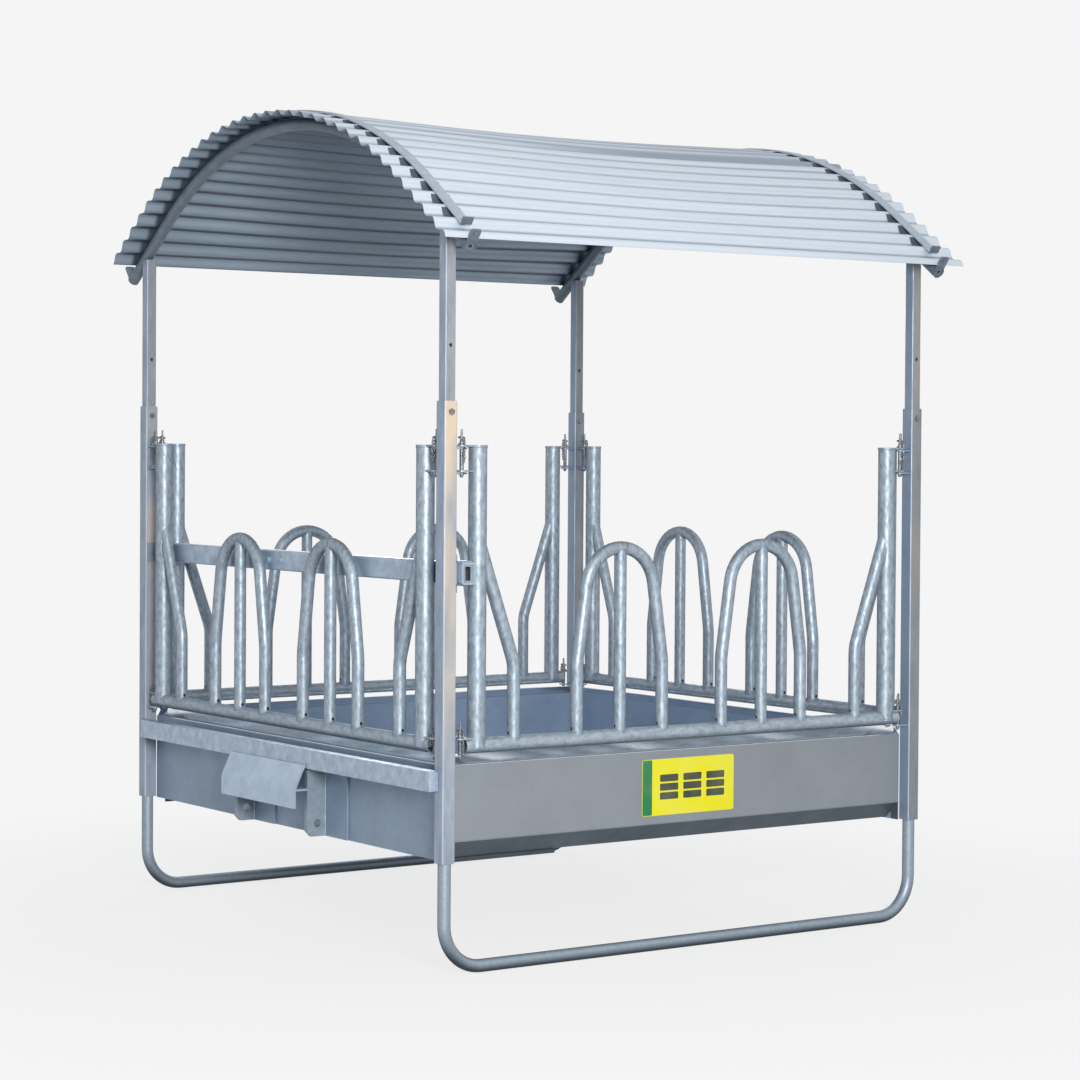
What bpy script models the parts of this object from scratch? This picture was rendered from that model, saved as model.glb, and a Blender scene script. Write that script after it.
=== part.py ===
"""Covered square bale feeder.

Four square corner posts on two round skids carry a shallow steel tub. A hinged feed gate
with two tombstone arches closes each side. Square posts slide in the corner posts and
hold a barrel roof of corrugated sheet on two round ribs.

Metres, +Z up. The origin is on the ground under the middle of the roof. The long front
with the plain tub wall faces -Y, and the side with the hitch faces -X.
"""
import math

import bmesh
import bpy
from mathutils import Matrix, Vector

# Clearance between touching pieces
GAP = 0.0003

# Footprint and corner posts
POST_PITCH = 2.0
POST_SIDE = 0.050
POST_WALL = 0.003
POST_BOTTOM = 0.360
POST_TOP = 1.825
POST_EDGE = POST_PITCH / 2
POST_FACE = POST_EDGE - POST_SIDE / 2

# Skids
SKID_RADIUS = 0.0212
SKID_BEND = 0.140
SKID_IN_POST = 0.150

# Tub
TUB_HALF = POST_FACE - GAP
TUB_FLOOR = 0.360
TUB_FOLD = 0.420
TUB_RIM = 0.665
RIM_RISE = 0.030
SHEET_STEEL = 0.003
SLANT = TUB_FOLD - TUB_FLOOR
SOLE_DEPTH = 0.015
SOLE_WIDTH = 0.470

# Hitch side
BEAM_BOTTOM = 0.590
BEAM_TOP = 0.655
BEAM_DEPTH = 0.035
BEAM_WALL = 0.005
BEAM_FRONT = -1.003
BEAM_REAR = 0.990
BEAM_MITRE = 0.045
HOOD_HALF_WIDTH = 0.250
HOOD_PLATE = 0.006
HOOD_TOP = 0.602
HOOD_FOLD = 0.522
HOOD_BOTTOM = 0.456
SHELF_PLATE = 0.008
LUG_PLATE = 0.020
LUG_CENTRE = 0.240
LUG_REACH = 0.078
LUG_TOP = 0.585
LUG_BOTTOM = 0.357
LUG_HOLE_RADIUS = 0.014
LUG_HOLE_HEIGHT = 0.402
LUG_CORNER = 0.018
LUG_FLANGE = 0.150
LUG_FLANGE_PLATE = 0.008

# Rail across the hitch side at breast height
RAIL_WIDTH = 0.050
RAIL_HEIGHT = 0.070
RAIL_WALL = 0.005
RAIL_BOTTOM = 1.244
RAIL_OUT = 1.045
RAIL_INSET = 0.0066
CLAMP_WALL = 0.005
CLAMP_WIDTH = 0.040
CLAMP_EAR = 0.026

# Gates
PIN_INSET = 0.0325
PIN_X = POST_FACE - PIN_INSET
UPRIGHT_X = 0.880
UPRIGHT_RADIUS = 0.03015
UPRIGHT_BORE = 0.02725
UPRIGHT_TOP = 1.680
GATE_RAIL_RADIUS = 0.02415
GATE_RAIL_HEIGHT = 0.728
GATE_RAIL_END = 0.0125
GATE_RAIL_BORE = 0.02125
SIDE_TUBE_X = 0.735
SIDE_TUBE_BEND = 0.985
SIDE_TUBE_TOP = 1.395
TUBE_RADIUS = 0.0212
TUBE_BORE = 0.0186
ARCH_X = 0.305
ARCH_TOP = 1.372
ARCH_FOOT = 0.177
ARCH_BEND = 0.972
ARCH_ROUNDING = 0.250
ARCH_RADIUS = 0.1405
ARCH_BAR_RADIUS = 0.0208
SIDE_TUBE_ROUNDING = 0.120

# Ears and drop pins
EAR_PLATE = 0.006
EAR_RADIUS = 0.018
PIN_RADIUS = 0.007
PIN_HOLE = 0.00775
UPPER_EAR = 1.680
SECOND_EAR = 1.600
EAR_STEP = 0.0015
LOWER_EAR = 0.749
PIN_COLLAR_RADIUS = 0.012
PIN_COLLAR = 0.005
PIN_GRIP = 0.045

# Roof posts and their clamp bolts
ROOF_POST_SIDE = 0.040
ROOF_POST_FOOT = 1.420
ROOF_POST_WALL = 0.003
HOLE_PITCH = 0.210
BOLT_HEIGHT = 1.790
BOLT_RADIUS = 0.006
BOLT_HEAD_RADIUS = 0.0105
BOLT_HEAD = 0.008

# Roof
ROOF_HALF_LENGTH = 1.105
CREST_RADIUS = 1.490
CREST_CENTRE = 1.333
ARC_HALF_ANGLE = math.radians(36.5)
CORRUGATION_PITCH = 0.076
CORRUGATION_DEPTH = 0.018
CORRUGATIONS = 33
FRONT_CORRUGATIONS = 17
SHEETS = {"front": (0, 12), "top": (11, 12), "rear": (22, 11)}
CORRUGATION_STEPS = 6
EAVE_TRIM = 2
ROOF_STEEL = 0.0008
LAP_LIFT = 0.0016
RIB_RADIUS = 0.0212
RIB_REACH = 1.280
RIB_TAB_INSET = 0.007
RIB_TAB = 0.006
RIB_TAB_WIDTH = 0.040
RIB_TAB_RISE = 0.022
STRAP_WIDTH = 0.040
STRAP_PLATE = 0.005
STRAP_STOP = 1
STRAP_TAB_RISE = 0.030

FRONT_EAVE = -FRONT_CORRUGATIONS * CORRUGATION_PITCH
ROOF_BEND = CREST_RADIUS * ARC_HALF_ANGLE
BORE_SIDES = 2
RIB_OFFSET = CORRUGATION_DEPTH + ROOF_STEEL / 2 + GAP + RIB_RADIUS
SIDES = 12


def start_empty():
    """Remove what the scene holds and make the two collections."""
    for obj in list(bpy.data.objects):
        bpy.data.objects.remove(obj, do_unlink=True)
    for old in list(bpy.data.collections):
        bpy.data.collections.remove(old)
    parts = bpy.data.collections.new("covered_square_bale_feeder")
    cutters = bpy.data.collections.new("cutters")
    bpy.context.scene.collection.children.link(parts)
    bpy.context.scene.collection.children.link(cutters)
    return parts, cutters


PARTS, CUTTERS = start_empty()


def finish(name, colour, roughness, metallic):
    """One Principled material."""
    material = bpy.data.materials.new(name)
    material.use_nodes = True
    shader = material.node_tree.nodes["Principled BSDF"]
    shader.inputs["Base Color"].default_value = (*colour, 1.0)
    shader.inputs["Roughness"].default_value = roughness
    shader.inputs["Metallic"].default_value = metallic
    material.diffuse_color = (*colour, 1.0)
    return material


def place(name, mesh, colour=None, roughness=0.45, tool=False):
    """Link a mesh as a part in its own finish, or as a cutter."""
    obj = bpy.data.objects.new(name, mesh)
    if tool:
        CUTTERS.objects.link(obj)
        obj.hide_render = True
        obj.display_type = "WIRE"
        return obj
    PARTS.objects.link(obj)
    obj.data.materials.clear()
    obj.data.materials.append(finish(name + "_finish", colour, roughness, 1.0))
    return obj


def mesh_of(bm, name):
    """Turn a bmesh into mesh data with outward faces."""
    bmesh.ops.recalc_face_normals(bm, faces=bm.faces)
    mesh = bpy.data.meshes.new(name)
    bm.to_mesh(mesh)
    bm.free()
    return mesh


def box(name, low, high, colour=None, tool=False, roughness=0.45):
    """A block between two corners."""
    low = Vector(low)
    high = Vector(high)
    bm = bmesh.new()
    bmesh.ops.create_cube(bm, size=1.0)
    bmesh.ops.scale(bm, vec=high - low, verts=bm.verts)
    bmesh.ops.translate(bm, vec=(low + high) / 2, verts=bm.verts)
    return place(name, mesh_of(bm, name), colour, roughness, tool)


def rod(name, start, end, radius, colour=None, tool=False, sides=SIDES, roughness=0.45):
    """A round bar between two points."""
    start = Vector(start)
    end = Vector(end)
    run = end - start
    bm = bmesh.new()
    bmesh.ops.create_cone(bm, cap_ends=True, segments=sides, radius1=radius,
                          radius2=radius, depth=run.length)
    turn = Vector((0, 0, 1)).rotation_difference(run).to_matrix().to_4x4()
    bmesh.ops.transform(bm, matrix=Matrix.Translation((start + end) / 2) @ turn, verts=bm.verts)
    obj = place(name, mesh_of(bm, name), colour, roughness, tool)
    smooth(obj)
    return obj


def smooth(obj, degrees=35):
    """Shade round faces smooth and keep the edges sharp."""
    obj.data.shade_smooth()
    obj.data.set_sharp_from_angle(angle=math.radians(degrees))


def evaluated_mesh(obj):
    """The mesh that an object shows with its modifiers."""
    bpy.context.view_layer.update()
    seen = obj.evaluated_get(bpy.context.evaluated_depsgraph_get())
    return bpy.data.meshes.new_from_object(seen)


def bent_tube(name, points, radius, colour=None, tool=False, resolution=4, tilt=0.0):
    """A round tube along points, as a mesh with its caps welded."""
    data = bpy.data.curves.new(name + "_route", "CURVE")
    data.dimensions = "3D"
    data.bevel_depth = radius
    data.bevel_resolution = resolution
    data.use_fill_caps = True
    spline = data.splines.new("POLY")
    spline.points.add(len(points) - 1)
    for point, place_at in zip(spline.points, points):
        point.co = (*place_at, 1.0)
        point.tilt = tilt
    curve = bpy.data.objects.new(name + "_route", data)
    CUTTERS.objects.link(curve)
    mesh = evaluated_mesh(curve)
    bm = bmesh.new()
    bm.from_mesh(mesh)
    bmesh.ops.remove_doubles(bm, verts=bm.verts, dist=0.00001)
    matrix = curve.matrix_world.copy()
    bpy.data.objects.remove(curve, do_unlink=True)
    obj = place(name, mesh_of(bm, name), colour, tool=tool)
    obj.matrix_world = matrix
    smooth(obj)
    return obj


def combine(target, tools, operation):
    """Boolean a group of tools into or out of the target in one step."""
    group = bpy.data.collections.new("%s_%s" % (target.name, operation.lower()))
    CUTTERS.children.link(group)
    for tool in tools:
        group.objects.link(tool)
    step = target.modifiers.new(operation.lower(), "BOOLEAN")
    step.operation = operation
    step.solver = "EXACT"
    step.operand_type = "COLLECTION"
    step.collection = group
    return target


def join(target, *tools):
    """Weld other shapes to a piece."""
    return combine(target, tools, "UNION")


def cut(target, *tools):
    """Cut other shapes out of a piece."""
    return combine(target, tools, "DIFFERENCE")


def outline_plate(name, points, thickness, plane, at, colour=None, tool=False):
    """A flat plate from a 2D outline, turned to the XZ plane or left in XY."""
    data = bpy.data.curves.new(name + "_outline", "CURVE")
    data.dimensions = "2D"
    data.fill_mode = "BOTH"
    data.extrude = thickness / 2
    spline = data.splines.new("POLY")
    spline.use_cyclic_u = True
    spline.points.add(len(points) - 1)
    for point, (u, v) in zip(spline.points, points):
        point.co = (u, v, 0.0, 1.0)
    curve = bpy.data.objects.new(name + "_outline", data)
    CUTTERS.objects.link(curve)
    mesh = evaluated_mesh(curve)
    bpy.data.objects.remove(curve, do_unlink=True)
    bm = bmesh.new()
    bm.from_mesh(mesh)
    bmesh.ops.remove_doubles(bm, verts=bm.verts, dist=0.00001)
    if plane == "XZ":
        bmesh.ops.rotate(bm, matrix=Matrix.Rotation(math.pi / 2, 3, "X"), verts=bm.verts)
    bmesh.ops.translate(bm, vec=at, verts=bm.verts)
    return place(name, mesh_of(bm, name), colour, tool=tool)


def folded_sheet(name, profile, low, high, thickness, colour, axis="X", offset=-1.0, tool=False):
    """An open folded profile drawn along an axis and given its thickness.

    The profile holds (across, height) pairs; across is Y for axis X, and X for axis Y.
    """
    bm = bmesh.new()
    verts = []
    for across, height in profile:
        spot = (low, across, height) if axis == "X" else (across, low, height)
        verts.append(bm.verts.new(spot))
    edges = [bm.edges.new(pair) for pair in zip(verts, verts[1:])]
    drawn = bmesh.ops.extrude_edge_only(bm, edges=edges)["geom"]
    moved = [item for item in drawn if isinstance(item, bmesh.types.BMVert)]
    shift = (high - low, 0, 0) if axis == "X" else (0, high - low, 0)
    bmesh.ops.translate(bm, vec=shift, verts=moved)
    mesh = bpy.data.meshes.new(name)
    bm.to_mesh(mesh)
    bm.free()
    obj = place(name, mesh, colour, tool=tool)
    wall = obj.modifiers.new("wall", "SOLIDIFY")
    wall.thickness = thickness
    wall.offset = offset
    wall.use_even_offset = True
    return obj


def arc(centre, radius, start, end, steps):
    """Points of an arc as (across, height), angles from the horizontal."""
    points = []
    for index in range(steps + 1):
        angle = start + (end - start) * index / steps
        points.append((centre[0] + radius * math.cos(angle), centre[1] + radius * math.sin(angle)))
    return points


def rounded(before, corner, after, radius, steps):
    """Points that round the corner of a bent tube."""
    before, corner, after = Vector(before), Vector(corner), Vector(after)
    back = (before - corner).normalized()
    ahead = (after - corner).normalized()
    half = back.angle(ahead) / 2
    reach = radius / math.tan(half)
    centre = corner + (back + ahead).normalized() * (radius / math.sin(half))
    first = corner + back * reach - centre
    last = corner + ahead * reach - centre
    sweep = first.angle(last)
    axis = first.cross(last)
    return [tuple(centre + Matrix.Rotation(sweep * k / steps, 3, axis) @ first)
            for k in range(steps + 1)]


# Colours of the galvanised finishes, linear
POST_ZINC = (0.52, 0.53, 0.55)
TUBE_ZINC = (0.56, 0.61, 0.66)
TUB_STEEL = (0.30, 0.34, 0.38)
HITCH_ZINC = (0.33, 0.41, 0.51)
ROOF_ZINC = (0.62, 0.68, 0.73)
PIN_ZINC = (0.40, 0.42, 0.44)

CORNERS = {
    "front_left": (-1, -1),
    "front_right": (1, -1),
    "rear_left": (-1, 1),
    "rear_right": (1, 1),
}

# Each gate: where it hinges, the way it runs from there, and its turn about Z
GATES = {
    "front": {"hinge": (PIN_X, -POST_EDGE), "turn": math.pi, "out": (0, -1)},
    "rear": {"hinge": (PIN_X, POST_EDGE), "turn": math.pi, "out": (0, 1)},
    "left": {"hinge": (-POST_EDGE, PIN_X), "turn": -math.pi / 2, "out": (-1, 0)},
    "right": {"hinge": (POST_EDGE, PIN_X), "turn": -math.pi / 2, "out": (1, 0)},
}
GATE_SPAN = 2 * PIN_X
PIN_STOREYS = ("upper", "lower")


def fitting_ends():
    """Every drop pin: its gate, whether it is the hinge, its place, and the way to its post."""
    ends = []
    for name, gate in GATES.items():
        along = Vector((math.cos(gate["turn"]), math.sin(gate["turn"]), 0))
        hinge = Vector((*gate["hinge"], 0))
        out = Vector((*gate["out"], 0))
        ends.append({"gate": name, "role": "hinge", "at": hinge, "to_post": -along, "out": out})
        ends.append({"gate": name, "role": "latch", "at": hinge + along * GATE_SPAN,
                     "to_post": along, "out": out})
    return ends


def ear(name, at, to_root, top, root_reach):
    """An ear plate round a pin, with its root towards a post or an upright."""
    side = Vector((-to_root.y, to_root.x, 0))
    facing = math.atan2(to_root.y, to_root.x)
    points = arc((at.x, at.y), EAR_RADIUS, facing + math.pi / 2, facing + 3 * math.pi / 2, 6)
    for sign in (-1, 1):
        corner = at + to_root * root_reach + side * (EAR_RADIUS * sign)
        points.append((corner.x, corner.y))
    return outline_plate(name, points, EAR_PLATE, "XY", (0, 0, top - EAR_PLATE / 2), tool=True)


def post_ear_tops():
    """Heights of the ears on the corner posts."""
    return (UPPER_EAR - EAR_STEP, SECOND_EAR - EAR_STEP, GATE_RAIL_HEIGHT - GATE_RAIL_RADIUS - EAR_STEP)


def build_corner_post(name, signs):
    """A square tube post with its ears, pin holes, latch slots and bolt hole."""
    x, y = signs[0] * POST_EDGE, signs[1] * POST_EDGE
    half = POST_SIDE / 2
    post = box("corner_post_" + name, (x - half, y - half, POST_BOTTOM),
               (x + half, y + half, POST_TOP), POST_ZINC)
    bore = half - POST_WALL
    joined = []
    removed = [box(name + "_bore", (x - bore, y - bore, POST_BOTTOM - 0.01),
                   (x + bore, y + bore, POST_TOP + 0.01), tool=True)]
    for end in fitting_ends():
        root = end["at"] + end["to_post"] * (PIN_INSET + half)
        if (root - Vector((x, y, 0))).length > POST_SIDE:
            continue
        label = "%s_%s_%s" % (name, end["gate"], end["role"])
        for level, top in enumerate(post_ear_tops()):
            joined.append(ear("%s_ear_%d" % (label, level), end["at"], end["to_post"], top,
                              PIN_INSET + POST_WALL / 2))
        removed.append(rod(label + "_pin_hole", end["at"] + Vector((0, 0, POST_BOTTOM)),
                           end["at"] + Vector((0, 0, POST_TOP)), PIN_HOLE, tool=True, sides=8))
        if end["role"] == "latch":
            removed.append(latch_slot(label + "_slot", end))
    removed.append(rod(name + "_bolt_hole", (x, y - half - 0.01, BOLT_HEIGHT),
                       (x, y - bore + 0.002, BOLT_HEIGHT), BOLT_RADIUS + GAP, tool=True, sides=10))
    join(post, *joined)
    cut(post, *removed)
    return post


def latch_slot(name, end):
    """The slot that lets a latch pin leave its post ears as the gate swings out."""
    reach = 2 * EAR_RADIUS
    across = Vector((abs(end["to_post"].x), abs(end["to_post"].y), 0)) * PIN_HOLE
    first = end["at"] - across
    second = end["at"] + across + end["out"] * reach
    low = Vector((min(first.x, second.x), min(first.y, second.y), POST_BOTTOM))
    high = Vector((max(first.x, second.x), max(first.y, second.y), POST_TOP))
    return box(name, low, high, tool=True)


def build_skid(name, y):
    """One round tube bent to a flat U on a flat facet, with its legs up inside two posts."""
    half_side = math.pi / SIDES
    floor = SKID_RADIUS * math.cos(half_side)
    top = POST_BOTTOM + SKID_IN_POST
    left = (-POST_EDGE, y, top)
    left_corner = (-POST_EDGE, y, floor)
    right_corner = (POST_EDGE, y, floor)
    right = (POST_EDGE, y, top)
    points = [left]
    points += rounded(left, left_corner, right_corner, SKID_BEND, 7)
    points += rounded(left_corner, right_corner, right, SKID_BEND, 7)
    points.append(right)
    skid = bent_tube("skid_" + name, points, SKID_RADIUS, TUBE_ZINC, tilt=half_side)
    points[0] = (-POST_EDGE, y, top + 0.01)
    points[-1] = (POST_EDGE, y, top + 0.01)
    cut(skid, bent_tube(name + "_skid_bore", points, TUBE_BORE, tool=True, resolution=BORE_SIDES))
    return skid


def build_tub():
    """The pan folded from one sheet, its two end walls and the sole plate under the hitch side."""
    outer = TUB_HALF
    wall = [(-outer + RIM_RISE, TUB_RIM + RIM_RISE), (-outer, TUB_RIM), (-outer, TUB_FOLD),
            (-outer + SLANT, TUB_FLOOR)]
    profile = wall + [(-across, height) for across, height in reversed(wall)]
    length = outer - SHEET_STEEL - GAP
    folded_sheet("tub_pan", profile, -length, length, SHEET_STEEL, TUB_STEEL, offset=1.0)
    rim_half = outer - RIM_RISE - 2 * SHEET_STEEL
    for name, side in (("left", -1), ("right", 1)):
        inner = side * (outer - SHEET_STEEL)
        plate = box("tub_end_" + name,
                    (min(side * outer, inner), -outer, TUB_FLOOR - SHEET_STEEL),
                    (max(side * outer, inner), outer, TUB_RIM), TUB_STEEL)
        lean = [(side * outer, TUB_RIM - SHEET_STEEL), (side * outer, TUB_RIM),
                (side * (outer - RIM_RISE), TUB_RIM + RIM_RISE),
                (side * (outer - RIM_RISE - SHEET_STEEL), TUB_RIM + RIM_RISE),
                (side * (outer - SHEET_STEEL), TUB_RIM - SHEET_STEEL)]
        rim = outline_plate(name + "_rim", lean, 2 * rim_half, "XZ", (0, 0, 0), tool=True)
        join(plate, rim)
    top = TUB_FLOOR - GAP
    low = TUB_FLOOR - SOLE_DEPTH
    side_y = outer - SLANT
    sole = box("floor_sole_plate", (-outer + SHEET_STEEL + GAP, -side_y, low),
               (-outer + SOLE_WIDTH, side_y, top), TUB_STEEL)
    hollow = box("sole_hollow", (-outer + 3 * SHEET_STEEL, -side_y + SHEET_STEEL, low - 0.01),
                 (-outer + SOLE_WIDTH - SHEET_STEEL, side_y - SHEET_STEEL, top - SHEET_STEEL), tool=True)
    cut(sole, hollow)


def build_hitch():
    """Channel beam, folded hood with its shelf, and two lug plates on the left side."""
    face = -POST_EDGE - POST_SIDE / 2 - GAP
    channel = [(face, BEAM_TOP), (face - BEAM_DEPTH, BEAM_TOP), (face - BEAM_DEPTH, BEAM_BOTTOM),
               (face, BEAM_BOTTOM), (face, BEAM_BOTTOM + BEAM_WALL),
               (face - BEAM_DEPTH + BEAM_WALL, BEAM_BOTTOM + BEAM_WALL),
               (face - BEAM_DEPTH + BEAM_WALL, BEAM_TOP - BEAM_WALL), (face, BEAM_TOP - BEAM_WALL)]
    beam = outline_plate("hitch_beam", channel, BEAM_REAR - BEAM_FRONT, "XZ",
                         (0, (BEAM_REAR + BEAM_FRONT) / 2, 0), HITCH_ZINC)
    # The front end is closed by a cap, and the rear end is mitred towards its post
    join(beam, box("beam_cap", (face - BEAM_DEPTH + 0.001, BEAM_FRONT + 0.001, BEAM_BOTTOM + 0.001),
                   (face - 0.001, BEAM_FRONT + BEAM_WALL, BEAM_TOP - 0.001), tool=True))
    over = 0.010
    slope = BEAM_MITRE / BEAM_DEPTH
    wedge = [(face + over, BEAM_REAR + slope * over), (face - BEAM_DEPTH - over, BEAM_REAR + slope * over),
             (face - BEAM_DEPTH - over, BEAM_REAR - BEAM_MITRE - slope * over)]
    cut(beam, outline_plate("beam_mitre", wedge, BEAM_TOP, "XY", (0, 0, BEAM_TOP), tool=True))
    outer = -ROOF_HALF_LENGTH
    beam_face = face - BEAM_DEPTH - GAP
    hood = folded_sheet("hitch_hood", [(beam_face - HOOD_PLATE, HOOD_TOP), (outer, HOOD_FOLD), (outer, HOOD_BOTTOM)],
                        -HOOD_HALF_WIDTH, HOOD_HALF_WIDTH, HOOD_PLATE, HITCH_ZINC, axis="Y", offset=-1.0)
    lug_edge = -TUB_HALF - LUG_REACH
    shelf = box("hood_shelf", (outer + HOOD_PLATE / 2, -HOOD_HALF_WIDTH, HOOD_FOLD - SHELF_PLATE),
                (lug_edge - GAP, HOOD_HALF_WIDTH, HOOD_FOLD), tool=True)
    join(hood, shelf)
    root = -TUB_HALF - GAP
    bevel = LUG_CORNER
    shape = [(root, LUG_TOP), (lug_edge, LUG_TOP), (lug_edge, LUG_BOTTOM + bevel),
             (lug_edge + bevel, LUG_BOTTOM), (root, LUG_BOTTOM)]
    hole_x = (root + lug_edge) / 2
    for name, side in (("front", -1), ("rear", 1)):
        y = side * LUG_CENTRE
        lug = outline_plate("hitch_lug_" + name, shape, LUG_PLATE, "XZ", (0, y, 0), HITCH_ZINC)
        flange = box(name + "_lug_flange", (root - LUG_FLANGE_PLATE, y - LUG_FLANGE, LUG_BOTTOM),
                     (root, y, LUG_TOP), tool=True)
        join(lug, flange)
        hole = rod(name + "_lug_hole", (hole_x, y - LUG_PLATE, LUG_HOLE_HEIGHT),
                   (hole_x, y + LUG_PLATE, LUG_HOLE_HEIGHT), LUG_HOLE_RADIUS, tool=True, sides=16)
        cut(lug, hole)


def build_top_rail():
    """The rectangular rail inside the left posts and the two clamps that hold it."""
    left = -POST_FACE + RAIL_INSET
    right = left + RAIL_WIDTH
    top = RAIL_BOTTOM + RAIL_HEIGHT
    rail = box("top_rail", (left, -RAIL_OUT, RAIL_BOTTOM), (right, RAIL_OUT, top), HITCH_ZINC)
    cut(rail, box("rail_bore", (left + RAIL_WALL, -RAIL_OUT - 0.01, RAIL_BOTTOM + RAIL_WALL),
                  (right - RAIL_WALL, RAIL_OUT + 0.01, top - RAIL_WALL), tool=True))
    root = -POST_FACE + GAP
    for name, side in (("front", -1), ("rear", 1)):
        y = side * POST_EDGE
        near, far = y - CLAMP_WIDTH / 2, y + CLAMP_WIDTH / 2
        clamp = box("rail_clamp_" + name, (root, near, RAIL_BOTTOM - CLAMP_WALL),
                    (right + CLAMP_WALL, far, top + CLAMP_WALL), HITCH_ZINC)
        ears = box(name + "_clamp_ears", (root, near, RAIL_BOTTOM - CLAMP_EAR),
                   (root + CLAMP_WALL, far, top + CLAMP_EAR), tool=True)
        inner_face = side * (POST_FACE - GAP)
        wrap = box(name + "_clamp_wrap",
                   (-POST_EDGE - POST_SIDE * 0.4, min(inner_face, inner_face - side * CLAMP_WALL), RAIL_BOTTOM),
                   (root + CLAMP_WALL, max(inner_face, inner_face - side * CLAMP_WALL), top), tool=True)
        bridge = box(name + "_clamp_bridge",
                     (root, min(y, inner_face - side * CLAMP_WALL), RAIL_BOTTOM),
                     (root + CLAMP_WALL, max(y, inner_face - side * CLAMP_WALL), top), tool=True)
        join(clamp, ears, wrap, bridge)
        cut(clamp, box(name + "_clamp_bore", (left - GAP, near - 0.05, RAIL_BOTTOM - GAP),
                       (right + GAP, far + 0.05, top + GAP), tool=True))


def gate_frame_template():
    """One gate's weldment at the hinge, running along +X: rail, uprights, side tubes and ears."""
    middle = GATE_SPAN / 2
    rail = rod("gate_template", (GATE_RAIL_END, 0, GATE_RAIL_HEIGHT),
               (GATE_SPAN - GATE_RAIL_END, 0, GATE_RAIL_HEIGHT), GATE_RAIL_RADIUS, tool=True, sides=SIDES)
    joined = []
    removed = []
    for side in (-1, 1):
        label = "gate_%s" % ("start" if side < 0 else "end")
        upright_x = middle + side * UPRIGHT_X
        pin = Vector((middle + side * middle, 0, 0))
        to_upright = Vector((-side, 0, 0))
        joined.append(rod(label + "_upright", (upright_x, 0, GATE_RAIL_HEIGHT - 0.006),
                          (upright_x, 0, UPRIGHT_TOP + EAR_PLATE), UPRIGHT_RADIUS, tool=True, sides=14))
        lean = [(upright_x, 0, SIDE_TUBE_TOP), (middle + side * SIDE_TUBE_X, 0, SIDE_TUBE_BEND),
                (middle + side * SIDE_TUBE_X, 0, GATE_RAIL_HEIGHT)]
        route = [lean[0]] + rounded(lean[0], lean[1], lean[2], SIDE_TUBE_ROUNDING, 3) + [lean[2]]
        joined.append(bent_tube(label + "_side_tube", route, TUBE_RADIUS, tool=True))
        removed.append(bent_tube(label + "_side_bore", route, TUBE_BORE, tool=True,
                                 resolution=BORE_SIDES))
        removed.append(rod(label + "_upright_bore", (upright_x, 0, GATE_RAIL_HEIGHT + 0.017),
                           (upright_x, 0, UPRIGHT_TOP - 0.001), UPRIGHT_BORE, tool=True))
        reach = abs(pin.x - upright_x)
        for level, top in enumerate((UPPER_EAR + EAR_PLATE, SECOND_EAR + EAR_PLATE)):
            joined.append(ear("%s_ear_%d" % (label, level), pin, to_upright, top, reach))
        joined.append(ear(label + "_low_ear", pin, to_upright, LOWER_EAR + EAR_PLATE, reach))
        removed.append(rod(label + "_pin_hole", pin + Vector((0, 0, GATE_RAIL_HEIGHT + 0.01)),
                           pin + Vector((0, 0, UPRIGHT_TOP + 0.05)), PIN_HOLE, tool=True, sides=8))
    removed.append(rod("gate_rail_bore", (0, 0, GATE_RAIL_HEIGHT), (GATE_SPAN, 0, GATE_RAIL_HEIGHT),
                       GATE_RAIL_BORE, tool=True))
    join(rail, *joined)
    cut(rail, *removed)
    return evaluated_mesh(rail)


def arch_template():
    """One tombstone arch with its centre bar, feet notched over the bottom rail."""
    rise = ARCH_TOP - TUBE_RADIUS - ARCH_RADIUS
    foot_z = GATE_RAIL_HEIGHT
    drop = rise - ARCH_BEND
    lean = math.atan2(ARCH_FOOT, drop) - math.asin(ARCH_RADIUS / math.hypot(ARCH_FOOT, drop))
    crown = [(across, 0, height) for across, height
             in arc((0, rise), ARCH_RADIUS, math.pi - lean, lean, 9)]
    left = rounded((-ARCH_FOOT, 0, foot_z), (-ARCH_FOOT, 0, ARCH_BEND), crown[0], ARCH_ROUNDING, 2)
    right = rounded(crown[-1], (ARCH_FOOT, 0, ARCH_BEND), (ARCH_FOOT, 0, foot_z), ARCH_ROUNDING, 2)
    points = [(-ARCH_FOOT, 0, foot_z)] + left + crown + right + [(ARCH_FOOT, 0, foot_z)]
    # The hoop is turned by half a facet so that no edge of it meets a ridge of the notch
    turn = math.pi / SIDES
    hoop = bent_tube("arch_template", points, TUBE_RADIUS, tool=True, tilt=turn)
    bar = rod("arch_bar", (0, 0, foot_z), (0, 0, ARCH_TOP - TUBE_RADIUS * 0.8), ARCH_BAR_RADIUS,
              tool=True, sides=10)
    notch = rod("arch_notch", (-ARCH_X, 0, foot_z), (ARCH_X, 0, foot_z),
                GATE_RAIL_RADIUS + GAP, tool=True, sides=SIDES)
    bore = bent_tube("arch_bore", points, TUBE_BORE, tool=True, resolution=BORE_SIDES, tilt=turn)
    bar_bore = rod("arch_bar_bore", (0, 0, foot_z), (0, 0, ARCH_TOP - TUBE_RADIUS), TUBE_BORE - 0.0005,
                   tool=True, sides=6)
    join(hoop, bar)
    cut(hoop, notch, bore, bar_bore)
    return evaluated_mesh(hoop)


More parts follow.
